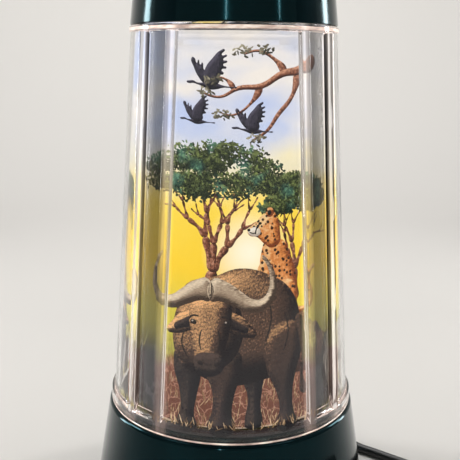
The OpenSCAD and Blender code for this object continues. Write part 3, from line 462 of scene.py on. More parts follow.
finishes["clear_shell"] = clear("clear_shell", (0.985, 0.98, 0.975), 0.015, 1.42, 55.0, 0.00012)
finishes["bulb_glass"] = clear("bulb_glass", (1.0, 0.99, 0.97), 0.02, 1.5, 60.0, 0.00008)
filament, tree, shader = finish(
    "filament", (0.5, 0.45, 0.4), 0.4, Emission_Strength=6.0, Emission_Color=(1.0, 0.62, 0.28, 1))
heat = noise(tree, object_point(tree), 900.0)
feed(shader, Base_Color=mix(tree, heat, (0.4, 0.36, 0.32), (0.7, 0.64, 0.56)))
finishes["filament"] = filament
# The cream hoop's faint emission is a painted glow, standing in for the bulb's light coming through it from
# behind.
finishes["cream_hoop"] = textured(
    "cream_hoop", (0.78, 0.66, 0.56), 0.42, 800.0, 0.00003, 0.08,
    Emission_Strength=0.30, Emission_Color=(0.95, 0.72, 0.55, 1))
print("finishes so far:", len(finishes))

# %% Cord pieces
def cord_piece(name, route, replaced):
    line = bpy.data.curves.new(name, "CURVE")
    line.dimensions = "3D"
    spline = line.splines.new("BEZIER")
    spline.bezier_points.add(len(route) - 1)
    for point, place in zip(spline.bezier_points, route):
        point.co = Vector(place) * MM
        point.handle_left_type = point.handle_right_type = "AUTO"
    line.bevel_depth = CORD_R * MM
    line.bevel_resolution = 5
    line.resolution_u = 4
    line.use_fill_caps = True
    line.materials.append(finishes["cord_sheath"])
    piece = bpy.data.objects.new(name, line)
    bpy.context.scene.collection.objects.link(piece)
    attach(piece, "lamp")
    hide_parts(*replaced)
    return piece


cord_piece(
    "cord_to_switch", NEAR_ROUTE, ["cord_near_run"])
cord_piece(
    "cord_to_plug", FAR_ROUTE, ["cord_second_run", "cord_coil", "plug_lead"])

# %% [markdown]
# The picture is printed on two clear films, one turning inside the other. Each motif is drawn flat,
# in millimetres, with the distance round the film as x and the height as y. A flat filled curve
# gives its outline, a grid of cuts gives it points to bend by, and the flat sheet is then rolled
# onto the cone. An image would be quicker to place, but drawn shapes stay sharp at any distance.

# %% The two films, and how a flat drawing is rolled onto them
ARC_R = 60.0     # x in a drawing is an angle times this radius, mm
LAYER = 0.008    # each layer of ink stands this far above the last, mm
INK_LIFT = 0.012   # the lowest ink stands this far off its film, mm
UV_UNIT = 100    # a unit of the flat drawing's UV map, mm
FILM_R, FILM_FOOT, FILM_TAPER = 62.15, 58.4, 0.062753   # outer radius at the foot, its height, its lean
DRUM_R, DRUM_FOOT, DRUM_TAPER = 54.86, 60.6, 0.048707


def film_radius(z):
    return FILM_R - (z - FILM_FOOT) * FILM_TAPER


def drum_radius(z):
    return DRUM_R - (z - DRUM_FOOT) * DRUM_TAPER


def roll(bm, radius, lift):
    for v in bm.verts:
        turn, r = v.co.x / ARC_R, radius(v.co.y) + lift + v.co.z
        v.co = Vector((r * math.sin(turn), -r * math.cos(turn), v.co.y)) * MM


print("film radius at mid height, mm:", round(film_radius(155), 2))

# %% [markdown]
# Printed animals look solid because an illustrator shades towards their edges. The same is done
# here: the distance from each point to the outline gives a rounded slope, and a light from the
# upper left of the drawing gives that slope a brightness, which the ink's material reads.

# %% Drawing tools
SUN = Vector((-0.45, 0.62, 0.64)).normalized()


def start_sheet():
    sheet = bmesh.new()
    sheet.verts.layers.float.new("light")
    return sheet


def close_path(points):
    """A filled flat curve through the points, as a bmesh."""
    line = bpy.data.curves.new("outline", "CURVE")
    line.dimensions, line.fill_mode, line.resolution_u = "2D", "BOTH", 5
    spline = line.splines.new("BEZIER")
    spline.bezier_points.add(len(points) - 1)
    for point, place in zip(spline.bezier_points, points):
        point.co = (place[0], place[1], 0)
        point.handle_left_type = point.handle_right_type = "AUTO"
    spline.use_cyclic_u = True
    carrier = bpy.data.objects.new("outline", line)
    mesh = bpy.data.meshes.new_from_object(carrier)
    shape = bmesh.new()
    shape.from_mesh(mesh)
    bpy.data.objects.remove(carrier)
    bpy.data.curves.remove(line)
    bpy.data.meshes.remove(mesh)
    return shape


def merge(sheet, part, lights):
    """Adds a part to a sheet, with the brightness of each of its points."""
    mesh = bpy.data.meshes.new("part")
    part.to_mesh(mesh)
    part.free()
    first = len(sheet.verts)
    sheet.from_mesh(mesh)
    bpy.data.meshes.remove(mesh)
    sheet.verts.ensure_lookup_table()
    store = sheet.verts.layers.float["light"]
    for v, light in zip(sheet.verts[first:], lights):
        v[store] = min(max(light, 0), 1)


def paint(sheet, points, ink, layer, rounding=5.0, shade=0.0, step=1.3):
    """Adds a filled, shaded outline to a sheet."""
    shape = close_path(points)
    for along, way in enumerate(((1, 0, 0), (0, 1, 0))):
        low = min(v.co[along] for v in shape.verts)
        high = max(v.co[along] for v in shape.verts)
        for i in range(1, int((high - low) / step) + 1):
            cut = [0, 0, 0]
            cut[along] = low + i * step
            bmesh.ops.bisect_plane(
                shape, geom=shape.verts[:] + shape.edges[:] + shape.faces[:], plane_co=cut, plane_no=way)
    edge = [v.co.copy() for v in shape.verts if v.is_boundary]
    tree = KDTree(len(edge))
    for i, place in enumerate(edge):
        tree.insert(place, i)
    tree.balance()
    slopes = []
    for v in shape.verts:
        nearest, _, gap = tree.find(v.co)
        out = (nearest - v.co).normalized() if gap > 1e-6 else Vector((0, 0, 0))
        tilt = max(0.0, 1 - gap / rounding)
        slopes.append(Vector((out.x * tilt, out.y * tilt, math.sqrt(max(0.0, 1 - tilt * tilt)))))
    for v, slope in zip(shape.verts, slopes):
        if v.is_boundary:
            near = [slopes[e.other_vert(v).index] for e in v.link_edges if not e.other_vert(v).is_boundary]
            slopes[v.index] = sum(near, Vector()) / len(near) if near else slope
        v.co.z = layer * LAYER
    for face in shape.faces:
        face.material_index = ink
    merge(sheet, shape, [0.5 + 0.95 * (slope.dot(SUN) - 0.62) + shade for slope in slopes])


def limb(line):
    """The outline of a tapered stroke. Each point is (x, y, width)."""
    left, right = [], []
    for i, (x, y, width) in enumerate(line):
        before, after = line[max(i - 1, 0)], line[min(i + 1, len(line) - 1)]
        way = Vector((after[0] - before[0], after[1] - before[1])).normalized()
        side = Vector((-way.y, way.x)) * width / 2
        left.append((x + side.x, y + side.y))
        right.append((x - side.x, y - side.y))
    return left + right[::-1]


def placed(points, at, scale=1.0, flip=1):
    """A drawing's points, moved, sized and, with flip=-1, mirrored."""
    return [(at[0] + p[0] * scale * flip, at[1] + p[1] * scale, *(w * scale for w in p[2:]))
            for p in points]


def blade(clump, lights, x, y, length, width, angle, ink, layer, light):
    """A small pointed leaf or blade of grass, from its root."""
    out = bmesh.ops.create_circle(clump, cap_ends=True, segments=6, radius=0.5, matrix=(
        Matrix.Translation((x, y, layer * LAYER)) @ Matrix.Rotation(angle, 4, "Z")
        @ Matrix.Translation((length / 2, 0, 0)) @ Matrix.Diagonal((length, width, 1, 1))))
    lights += [light] * len(out["verts"])
    for face in {f for v in out["verts"] for f in v.link_faces}:
        face.material_index = ink


def oval(x, y, wide, tall, lean=0.0):
    turn = Matrix.Rotation(lean, 2)
    corners = [Vector((wide * math.cos(i * math.pi / 4), tall * math.sin(i * math.pi / 4)))
               for i in range(8)]
    return [(x + p.x, y + p.y) for p in (turn @ corner for corner in corners)]


def publish(sheet, name, inks, body, radius):
    """Rolls a sheet onto its film, with the flat drawing kept as its UV map."""
    flat = sheet.loops.layers.uv.new("flat")
    for face in sheet.faces:
        for loop in face.loops:
            loop[flat].uv = (loop.vert.co.x / UV_UNIT, loop.vert.co.y / UV_UNIT)
    roll(sheet, radius, INK_LIFT)
    mesh = bpy.data.meshes.new(name)
    sheet.to_mesh(mesh)
    sheet.free()
    for ink in inks:
        mesh.materials.append(ink)
    print(name, "faces:", len(mesh.polygons))
    add_piece(name, mesh, body, inks[0], smooth=0)


# %% [markdown]
# Four dark strips hold the film at its corners, and little light comes through it there. The first
# group below dims the print over the strips and marks where the ribs glow, from the distance to the
# nearest strip. The second paints the sky, the yellow evening light and the red earth by height, and
# adds a painted glow where the bulb shines through the film.

# %% Light through the film, and the printed sky with a painted bulb glow
STRIP_AT = 45.0         # degrees from the middle of the front, or of the back, to each strip
STRIP_EDGE = 8.3, 9.6   # where a strip's shadow starts to fade and ends, mm from its middle
STRIP_LIGHT = 0.22      # the share of light that reaches the eye through a strip's channel
RIB_START, RIB_END = (6.4, 7.6), (12.2, 13.6)   # where a rib's glow comes in and goes out, mm
BULB_GLOW = (0.006, -0.0605, 0.152)   # where the bulb shows brightest through the film, m


def strip_gap(tree, across):
    """How far a place is from the nearest strip, in millimetres round the film."""
    half = ARC_R * math.pi
    near = maths(tree, "WRAP", maths(tree, "MULTIPLY", across, UV_UNIT), half, -half)
    near = maths(tree, "ABSOLUTE", near)
    near = maths(tree, "ABSOLUTE", maths(tree, "SUBTRACT", near, half / 2))
    return maths(tree, "ABSOLUTE", maths(tree, "SUBTRACT", near, half / 2 - math.radians(STRIP_AT) * ARC_R))


lit_group, ins, outs = effect_group("light_through_film", {"Across": 0.0}, ("Lit", "Rib"))
gap = strip_gap(lit_group, ins.outputs["Across"])
feed(outs, Lit=remap(lit_group, gap, STRIP_EDGE[0], STRIP_EDGE[1], STRIP_LIGHT, 1.0))
inner = remap(lit_group, gap, RIB_START[0], RIB_START[1])
outer = remap(lit_group, gap, RIB_END[0], RIB_END[1], 1.0, 0.0)
feed(outs, Rib=maths(lit_group, "MULTIPLY", inner, outer))


def across_point(tree, place):
    """The distance round the lamp from the middle of its front, as the flat drawings have it."""
    flat = node(tree, "SeparateXYZ", Vector=place)
    x, y = flat.node.outputs[0], flat.node.outputs[1]
    turn = maths(tree, "ARCTAN2", x, maths(tree, "MULTIPLY", y, -1.0))
    return maths(tree, "MULTIPLY", turn, ARC_R / UV_UNIT)


sky_group, ins, outs = effect_group("printed_sky_and_bulb_glow", {"Point": (0.0, 0.0, 0.0)}, ("Colour",))
point = ins.outputs["Point"]
drift = noise(sky_group, node(sky_group, "Mapping", Vector=point, Scale=(1, 1, 1.9)), 17.0, 3.5, 0.55)
cloud = remap(sky_group, drift, 0.40, 0.60)
fine = noise(sky_group, point, 70.0, 5.0, 0.6)
shift = remap(sky_group, fine, 0.3, 0.7, -0.004, 0.004)
tall = maths(sky_group, "ADD", axis(sky_group, point, "Z"), shift)
level = remap(sky_group, tall, 0.06, 0.26)
bands = ramp(sky_group, level, (0.0, (0.10, 0.030, 0.018)), (0.17, (0.20, 0.070, 0.040)),
    (0.195, (0.36, 0.33, 0.06)), (0.29, (0.66, 0.56, 0.06)), (0.42, (0.92, 0.62, 0.035)),
    (0.56, (0.93, 0.68, 0.08)), (0.66, (0.88, 0.78, 0.48)), (0.75, (0.86, 0.80, 0.72)),
    (1.0, (0.84, 0.79, 0.74)))
high = remap(sky_group, level, 0.60, 0.76)
blue = maths(sky_group, "MULTIPLY", cloud, high)
heaven = mix(sky_group, blue, bands, (0.50, 0.58, 0.80))
# A painted glow: round the place where the bulb shines through, the sky is lightened to warm white.
glow = node(sky_group, "VectorMath", out="Value", operation="DISTANCE", I0=point, I1=BULB_GLOW)
glow = remap(sky_group, glow, 0.004, 0.024, 0.85, 0.0)
heaven = mix(sky_group, glow, heaven, (1.0, 0.96, 0.86))
feed(outs, Colour=heaven)
print("film effects:", lit_group.name, sky_group.name)

# %% [markdown]
# Every ink glows, because the print is lit from behind. One recipe covers them: three colours, chosen
# by the drawn light, a fine texture that the flat drawing's own coordinates place, and for some inks
# a pattern of spots, folds, bands or cracks.

# %% Inks
def flat_point(tree, scale=(1, 1, 1), lean=0.0):
    place = node(tree, "UVMap", uv_map="flat")
    return node(tree, "Mapping", Vector=place, Scale=scale, Rotation=(0, 0, lean))


def ink(name, dark, middle, bright, grain=(60, 60, 60), depth=0.5, marks=None):
    material, tree, shader = finish(name, middle, 0.45, Emission_Strength=0.95, Specular_IOR_Level=0.1)
    light = node(tree, "Attribute", out="Fac", attribute_name="light")
    speckle = noise(tree, flat_point(tree, grain), 1.0, 5.0, 0.65)
    offset = remap(tree, speckle, 0.3, 0.7, -depth / 2, depth / 2)
    level = maths(tree, "ADD", light, offset)
    colour = ramp(tree, level, (0.08, dark), (0.5, middle), (0.92, bright))
    if marks:
        colour = marks(tree, colour, light)
    across = axis(tree, node(tree, "UVMap", uv_map="flat"), "X")
    lit = use_group(tree, lit_group, Across=across)["Lit"]
    feed(shader, Emission_Color=mix(tree, lit, (0.0, 0.0, 0.0), colour))
    feed(shader, Base_Color=mix(tree, 0.9, colour, (0.0, 0.0, 0.0)))
    return material


def cat_spots(tree, colour, light):
    cell = node(tree, "TexVoronoi", Vector=flat_point(tree), Scale=44.0, Randomness=0.85)
    spot = remap(tree, cell, 0.30, 0.38, 1.0, 0.0)
    return mix(tree, spot, colour, (0.035, 0.012, 0.006))


def hide_folds(tree, colour, light):
    wave = node(tree, "TexWave", Vector=flat_point(tree, (1, 1, 1), 1.2), Scale=16.0, Distortion=9.0,
                Detail=3.0, Detail_Scale=2.0)
    fold = remap(tree, wave, 0.0, 0.22, 0.55, 0.0)
    folded = mix(tree, fold, colour, (0.012, 0.008, 0.009))
    y = axis(tree, node(tree, "UVMap", uv_map="flat"), "Y")
    dusk = remap(tree, y, 1.12, 0.72, 0.0, 0.88)
    return mix(tree, dusk, folded, mix(tree, light, (0.002, 0.002, 0.004), (0.038, 0.026, 0.034)))


def zebra_bands(tree, colour, light):
    wave = node(tree, "TexWave", Vector=flat_point(tree, (1, 0.35, 1)), Scale=24.0, Distortion=5.0,
                Detail=1.5, Detail_Scale=1.2)
    band = remap(tree, wave, 0.45, 0.58)
    return mix(tree, band, (0.02, 0.015, 0.018), colour)


def bark_cracks(tree, colour, light):
    wave = noise(tree, flat_point(tree, (240, 60, 60)), 1.0, 4.0)
    crack = remap(tree, wave, 0.36, 0.46, 0.8, 0.0)
    return mix(tree, crack, colour, (0.03, 0.012, 0.008))


def leaf_tones(tree, colour, light):
    broad = noise(tree, flat_point(tree), 9.0, 3.0)
    teal = remap(tree, broad, 0.50, 0.64, 0.0, 0.75)
    return mix(tree, teal, colour, mix(tree, light, (0.003, 0.022, 0.020), (0.12, 0.34, 0.24)))


INKS = {
    "hide": ink("hide_ink", (0.005, 0.003, 0.005), (0.090, 0.048, 0.032), (0.92, 0.50, 0.22),
                (140, 90, 60), 0.42, marks=hide_folds),
    "rear_hide": ink("rear_hide_ink", (0.003, 0.003, 0.006), (0.014, 0.010, 0.012), (0.08, 0.05, 0.04),
                     (120, 60, 60)),
    "horn": ink("horn_ink", (0.05, 0.03, 0.02), (0.34, 0.24, 0.16), (0.86, 0.70, 0.50),
                (60, 260, 60), 0.35),
    "cat": ink("cat_ink", (0.20, 0.045, 0.012), (0.72, 0.25, 0.06), (0.92, 0.62, 0.30), marks=cat_spots),
    "zebra": ink("zebra_ink", (0.30, 0.24, 0.20), (0.72, 0.62, 0.50), (0.90, 0.85, 0.74),
                 marks=zebra_bands),
    "bark": ink("bark_ink", (0.05, 0.016, 0.010), (0.25, 0.085, 0.045), (0.72, 0.36, 0.22),
                (70, 70, 60), 0.6, marks=bark_cracks),
    "leaf": ink("leaf_ink", (0.003, 0.009, 0.005), (0.032, 0.046, 0.014), (0.22, 0.27, 0.08),
                (160, 160, 60), 0.35, marks=leaf_tones),
    "dry_leaf": ink("dry_leaf_ink", (0.03, 0.03, 0.02), (0.16, 0.14, 0.09), (0.42, 0.38, 0.26)),
    "feather": ink("feather_ink", (0.006, 0.006, 0.012), (0.020, 0.018, 0.030), (0.10, 0.09, 0.13),
                   (200, 60, 60)),
    "grass": ink("grass_ink", (0.08, 0.045, 0.012), (0.42, 0.34, 0.06), (0.80, 0.72, 0.30)),
    "dry_grass": ink("dry_grass_ink", (0.07, 0.03, 0.016), (0.34, 0.20, 0.09), (0.80, 0.60, 0.36)),
    "stone": ink("stone_ink", (0.04, 0.016, 0.012), (0.24, 0.10, 0.065), (0.62, 0.40, 0.28),
                 (90, 130, 60), 0.6),
    "line": ink("line_ink", (0.008, 0.006, 0.006), (0.012, 0.009, 0.009), (0.03, 0.02, 0.02)),
    "cream": ink("cream_ink", (0.5, 0.42, 0.34), (0.8, 0.7, 0.56), (0.92, 0.86, 0.74)),
    "hill": ink("hill_ink", (0.06, 0.07, 0.03), (0.20, 0.20, 0.06), (0.42, 0.38, 0.12), (40, 90, 60), 0.7),
}
INK_LIST = list(INKS.values())
I = {name: i for i, name in enumerate(INKS)}
print("inks:", len(INKS))

# %% [markdown]
# Each animal is built from its back to its front. The buffalo, which stands face on, has far legs,
# body, near legs, shoulders, and then the head with its ears and wide horns. Each part is an outline
# of its own, so each gets its own rounded shading.

# %% Drawing the animals
def brush(sheet, at, scale, flip, base, ink, rounding, step=1.3):
    """A short way to paint one animal, whose outlines are placed, sized and layered alike."""
    def p(points, ink=ink, layer=0, rounding=rounding, shade=0.0):
        outline = placed(points, at, scale, flip)
        paint(sheet, outline, I[ink], base + layer, rounding * scale, shade, step)
    return p


def draw_buffalo(sheet, at, scale=1.0, flip=1, base=0):
    p = brush(sheet, at, scale, flip, base, "hide", 6.0)
    p([(12, 36), (22, 36), (21.5, 24), (20.5, 14), (21.5, 6), (20.5, 3.5), (13.5, 3.5), (13, 7),
        (14.5, 18)], "rear_hide")
    p([(-20, 42), (-8, 40), (-8, 29), (-10, 18), (-11, 9), (-9.5, 4), (-10.5, 1.5), (-19, 1.5), (-20, 4),
        (-18, 11), (-19, 22), (-22, 32)], "rear_hide")
    p([(-2, 78), (10, 82), (24, 79), (36, 71), (42, 57), (41, 41), (33, 31), (20, 27), (6, 25), (-6, 28),
        (-18, 36), (-22, 50), (-18, 66), (-10, 75)], "hide", 1, 15, -0.06)
    p([(24, 50), (40, 54), (43, 42), (39, 29), (37, 18), (38, 8), (40, 3.5), (38.5, 1), (29, 1), (28, 4),
        (30, 11), (28.5, 20), (24, 31)], "hide", 2, 6, -0.16)
    p([(41, 58), (44.5, 50), (45, 38), (43.5, 26), (45.5, 18), (43, 17), (41.5, 26), (42.5, 38), (41, 48)],
        "hide", 3, 2, -0.2)
    p([(-6, 44), (10, 42), (11, 31), (8, 20), (7, 10), (8.6, 4.5), (7.5, 1), (-3.5, 1), (-4.5, 4.5),
        (-2.5, 11), (-2.5, 22), (-6, 32)], "hide", 3, 6, -0.12)
    p([(-14, 75), (2, 73), (11, 61), (11, 45), (3, 34), (-8, 30), (-18, 34), (-23, 46), (-21, 62)], "hide",
        4, 11, 0.0)
    for side in (-1, 1):
        ear = [(4, -1), (9, 1), (15, -1), (20, -6), (22.5, -10.5), (18, -11.5), (11, -9.5), (5.5, -6)]
        p([(-4 + side * x, 60 + y) for x, y in ear], "hide", 5, 3, 0.1 - 0.08 * side)
        p([(-4 + side * x, 60 + y) for x, y in [(9, -2.5), (14, -4), (18.5, -8.5), (13, -8), (9, -6)]],
            "rear_hide", 6, 2)
    p([(-13.5, 66), (-4, 70), (5.5, 66), (6.5, 58), (5, 49), (3.2, 41), (2.6, 36), (-0.5, 31), (-4.5, 29.5),
       (-8.5, 31), (-11, 36), (-11.6, 41), (-13, 49), (-14.5, 58)], "hide", 7, 8, 0.12)
    p([(-10.8, 39), (-4.4, 41), (2.4, 39), (3.2, 34.5), (0.5, 30.5), (-4.4, 29), (-9, 30.5), (-11.6, 34.5)],
      "rear_hide", 8, 4, 0.18)
    for side in (-1, 1):
        p(oval(-4.2 + side * 4.1, 35.5, 1.5, 1.0, side * 0.5), "line", 9, 2)
        p(oval(-4 + side * 8.2, 55.5, 1.7, 1.2, side * 0.3), "line", 9, 2)
        p(oval(-4.5 + side * 8.2, 56.0, 0.45, 0.4), "cream", 10, 2)
        p(limb([(-4 + side * 5.5, 58.5, 0.3), (-4 + side * 9, 58.4, 0.9), (-4 + side * 11, 56, 0.3)]),
            "line", 9, 2)
        horn = [(0.6, 71.5, 10.5), (6, 71, 10), (13, 67.5, 8), (20, 64, 6.6), (26, 64.6, 5.6),
            (30, 69, 4.6), (31, 76, 3.4), (29, 83, 2.2), (25.5, 88, 0.5)]
        p(limb([(-4 + side * x, y, w) for x, y, w in horn][::side]), "horn", 8, 4.5, 0.02)
    for line in (
            [(-8, 52, 0.2), (-9, 47, 0.7), (-8.2, 42, 0.2)], [(0, 52, 0.2), (1, 47, 0.7), (0.4, 42, 0.2)],
            [(-8, 32.5, 0.2), (-4.4, 31.6, 0.6), (-0.6, 32.6, 0.2)]):
        p(limb(line), "line", 9, 2)
    for line in (
            [(9, 56, 0.2), (10.5, 49, 0.8), (7, 40, 0.2)], [(-17, 50, 0.2), (-18, 44, 0.8), (-14, 37, 0.2)],
            [(24, 68, 0.2), (26, 58, 0.8), (23, 46, 0.2)], [(33, 60, 0.2), (35, 50, 0.7), (32, 40, 0.2)]):
        p(limb(line), "line", 5, 2)


def draw_cat(sheet, at, scale=1.0, flip=1, base=0):
    p = brush(sheet, at, scale, flip, base, "cat", 4.0)
    p(limb([(6, 3, 3), (0, 1.2, 2.8), (-4.6, 3.4, 2.6), (-5.6, 9.5, 2.5), (-3.6, 15, 2.3),
        (-5.4, 20.5, 2.1), (-8.5, 22.5, 1.2)]), "cat", 0, 2)
    p([(11, 37), (6.5, 29), (3.2, 20), (2.4, 11), (4.5, 4), (9, 1), (16, 1.5), (20, 5), (23, 14),
        (23.4, 24), (22.6, 31), (20, 37)], "cat", 1, 6)
    p([(17.5, 27), (23.2, 26), (23.4, 14), (22.8, 4), (25.4, 2.2), (25.4, 0.2), (19.6, 0), (19.2, 4),
        (18.8, 14), (16.6, 20)], "cat", 2, 3, 0.04)
    p([(3, 13), (7.5, 17.5), (13.5, 15.6), (17, 9), (16.6, 4), (21, 2.6), (22, 0.4), (14, -0.4), (6, 0),
        (3, 5)], "cat", 3, 4, 0.05)
    p(oval(15.2, 50.2, 2.2, 2.2, 0.3), "cat", 2, 2)
    p([(12.6, 36), (12.4, 41), (13.4, 46.4), (17, 50), (21.6, 49.6), (24.6, 46.6), (28, 44), (29.6, 42),
        (28.6, 39.8), (24.6, 38.8), (21.5, 36), (17, 33.5)], "cat", 4, 4.5, 0.1)
    p([(24.2, 43.4), (28, 43.2), (29.4, 41.6), (28.2, 39.9), (24.8, 39.4), (23, 41)], "cream", 5, 2)
    p(oval(18, 50.6, 2.1, 2.3, 0.2), "cat", 5, 2, -0.1)
    p(oval(18.2, 50.4, 1.1, 1.3, 0.2), "line", 6, 2)
    p(oval(23.2, 45.4, 0.9, 0.65, -0.3), "line", 6, 1)
    p(oval(29, 42.4, 0.8, 0.7), "line", 6, 1)
    p(limb([(23.8, 44.8, 0.7), (25.2, 42.6, 0.6), (25.6, 40.4, 0.3)]), "line", 6, 1)
    p(limb([(28.6, 41.4, 0.2), (27, 40.8, 0.5), (25.2, 41, 0.2)]), "line", 6, 1)
    p(limb([(18.6, 24, 0.2), (17.6, 18, 0.6), (18.6, 8, 0.2)]), "line", 4, 1)


def draw_rhino(sheet, at, scale=1.0, flip=1, base=0):
    p = brush(sheet, at, scale, flip, base, "hide", 6.0)
    p([(42, 24), (53, 22), (51, 12), (50, 5), (51.5, 2.5), (50, 1), (43, 1), (42, 2.5), (43, 8)],
        "rear_hide")
    p([(68, 24), (80, 24), (78, 12), (77, 6), (78.5, 3.5), (77, 2), (70, 2), (68.5, 4), (70, 9)],
        "rear_hide")
    p([(28, 50), (34, 56), (42, 56.5), (52, 53), (64, 52.5), (76, 54.5), (86, 53.5), (94, 47), (98, 38),
        (97.5, 27), (92, 19), (80, 15.5), (66, 13.5), (52, 13.5), (42, 16), (33, 20), (27, 28), (25, 38)],
        "hide", 1, 14)
    p([(30, 34), (44, 32), (44.5, 20), (42, 12), (41.5, 5), (43.5, 1.5), (42, -0.5), (33, -0.5),
        (31.5, 1.5), (33, 6), (32, 14), (29, 24)], "hide", 2, 6, -0.08)
    p([(76, 38), (94, 38), (97, 26), (93.5, 16), (90.5, 11), (91.5, 5), (93.5, 1.5), (92, -0.5),
        (82.5, -0.5), (81, 1.5), (82.5, 6), (81.5, 12), (75, 22)], "hide", 2, 7, -0.08)
    p(limb([(96, 46, 1.6), (100, 38, 1.4), (99.6, 28, 1.2), (98.4, 20, 2.2)]), "hide", 3, 2)
    p([(27, 51), (27.5, 57), (30, 61.5), (32.5, 57), (32, 51.5)], "rear_hide", 2, 2)
    p([(36, 53), (39, 40), (34, 29), (27, 23), (18, 18), (10, 14.5), (4, 14), (1.2, 17), (1.5, 22),
        (4, 26.5), (8, 31), (12, 36), (17, 41), (21, 47), (28, 53)], "hide", 4, 8, 0.1)
    p([(1.8, 22), (-1.5, 30), (-4.5, 38), (-5.5, 46), (-2.5, 41), (2, 34.5), (7, 29.5), (5, 25.5)], "horn",
        5, 3)
    p([(8.5, 31.5), (7.5, 36), (8.5, 42), (10.5, 39), (14, 37.5), (12.5, 35)], "horn", 5, 2)
    p([(22, 47), (20.5, 54), (22, 60), (26, 57), (28, 50)], "hide", 5, 2.5, 0.1)
    p(oval(15, 33, 1.3, 0.9), "line", 6, 1)
    p(oval(3.4, 20.6, 0.9, 0.7), "line", 6, 1)
    for line in (
            [(2.2, 17.6, 0.2), (6, 18.6, 0.6), (11, 19.4, 0.2)],
            [(28, 51, 0.2), (32, 40, 0.9), (29, 27, 0.3)], [(38, 54, 0.2), (42, 42, 0.9), (39, 26, 0.3)],
            [(74, 52, 0.2), (70, 38, 0.9), (75, 22, 0.3)]):
        p(limb(line), "line", 6, 2)


def draw_zebra(sheet, at, scale=1.0, flip=1, base=0):
    p = brush(sheet, at, scale, flip, base, "zebra", 4.0)
    for x in (13, 34):
        p(limb([(x, 22, 5), (x + 0.6, 13, 3.2), (x - 0.2, 6, 2.4), (x + 0.3, 0.4, 3.0)]), "zebra", 0, 2,
            -0.3)
    p([(9, 36), (13, 39), (21, 37.5), (30, 38), (37, 37), (40, 31), (39, 23), (33, 18.5), (22, 17.5),
        (12, 19), (7.5, 26)], "zebra", 1, 7)
    for x in (9.6, 37.4):
        p(limb([(x, 26, 7), (x + 0.6, 16, 4.4), (x, 8, 2.6), (x + 0.2, 2, 2.4), (x, 0, 3.2)]), "zebra", 2,
            2.4)
    p([(6, 32), (1, 41), (-4, 48), (-3, 51.5), (3, 50), (9, 44), (14, 38), (12, 30)], "zebra", 3, 4)
    p([(-1, 53), (-6, 49), (-11, 43.4), (-13.4, 40), (-12, 37.6), (-8.6, 38), (-4, 42), (2, 45), (4, 49.6)],
        "zebra", 4, 3.4)
    p(limb([(13, 39.6, 1.2), (7, 46.4, 2.6), (1.6, 52.4, 2.6), (-1.6, 54.6, 1)]), "line", 2, 2)
    p([(-0.6, 51.6), (-0.4, 56.6), (1.6, 58), (2.6, 54.4), (2, 51.4)], "zebra", 5, 2)
    p(oval(-12.2, 39, 1.9, 1.6, 0.6), "line", 5, 2)
    p(oval(-4.2, 47.2, 0.8, 0.6), "line", 5, 1)
    p(limb([(39, 35, 1.2), (42, 28, 1.0), (41.4, 20, 2.0), (40.4, 13, 1.2)]), "line", 0, 2)


def draw_crane(sheet, at, scale=1.0, flip=1, base=0):
    p = brush(sheet, at, scale, flip, base, "feather", 2.2, step=0.9)
    p([(-3, 1), (-6.5, 4), (-9, 8), (-10.4, 12.4), (-8.6, 12), (-7.4, 10), (-6.6, 11.4), (-5.4, 9.2),
        (-4.4, 10.2), (-3.6, 7.4), (-2, 6), (0, 1)], shade=0.1)
    p(limb([(-13, 1.7, 0.3), (-11, 1.6, 1.3), (-9.4, 1.7, 1.2), (-7, 1, 0.8), (-4, 0.5, 1.7), (0, 0, 3.4),
        (4, -0.3, 2.5), (7, -0.4, 1), (11, -0.7, 0.5), (14, -0.8, 0.4)]), layer=1)
    p([(-2, 0.5), (-3.5, 4), (-2.5, 8), (1, 12), (5.4, 15.6), (7.6, 15.8), (6, 13.6), (8.8, 13.4),
        (6.8, 11.5), (9, 10.7), (6.8, 9.2), (8.6, 8), (6, 7), (7.2, 5.4), (4.8, 4.4), (5, 2), (3, 0.2)],
        layer=2, shade=0.05)


print("animals are ready to draw")

# %% [markdown]
# Trees grow from a rule: each limb bends a little, thins, and forks, four times over. The leaves are
# small pointed shapes, scattered in rounded clumps that are bright above and dark below.
# The random numbers are seeded, so the same tree grows each time.

# %% Drawing the plants
def draw_leaves(sheet, chance, x, y, wide, tall, count, ink="leaf", size=(1.6, 3.2), layer=0.0):
    clump, lights = bmesh.new(), []
    for i in range(count):
        a, r = chance.uniform(0, 2 * math.pi), math.sqrt(chance.random())
        u, v = r * math.cos(a), r * math.sin(a)
        light = 0.42 + 0.34 * v - 0.16 * u + chance.uniform(-0.28, 0.3)
        blade(clump, lights, x + u * wide, y + v * tall, chance.uniform(*size), chance.uniform(0.7, 1.25),
              chance.gauss(-0.2, 0.7) + (math.pi if chance.random() < 0.5 else 0), I[ink],
              layer + 3 * i / count, light)
    merge(sheet, clump, lights)


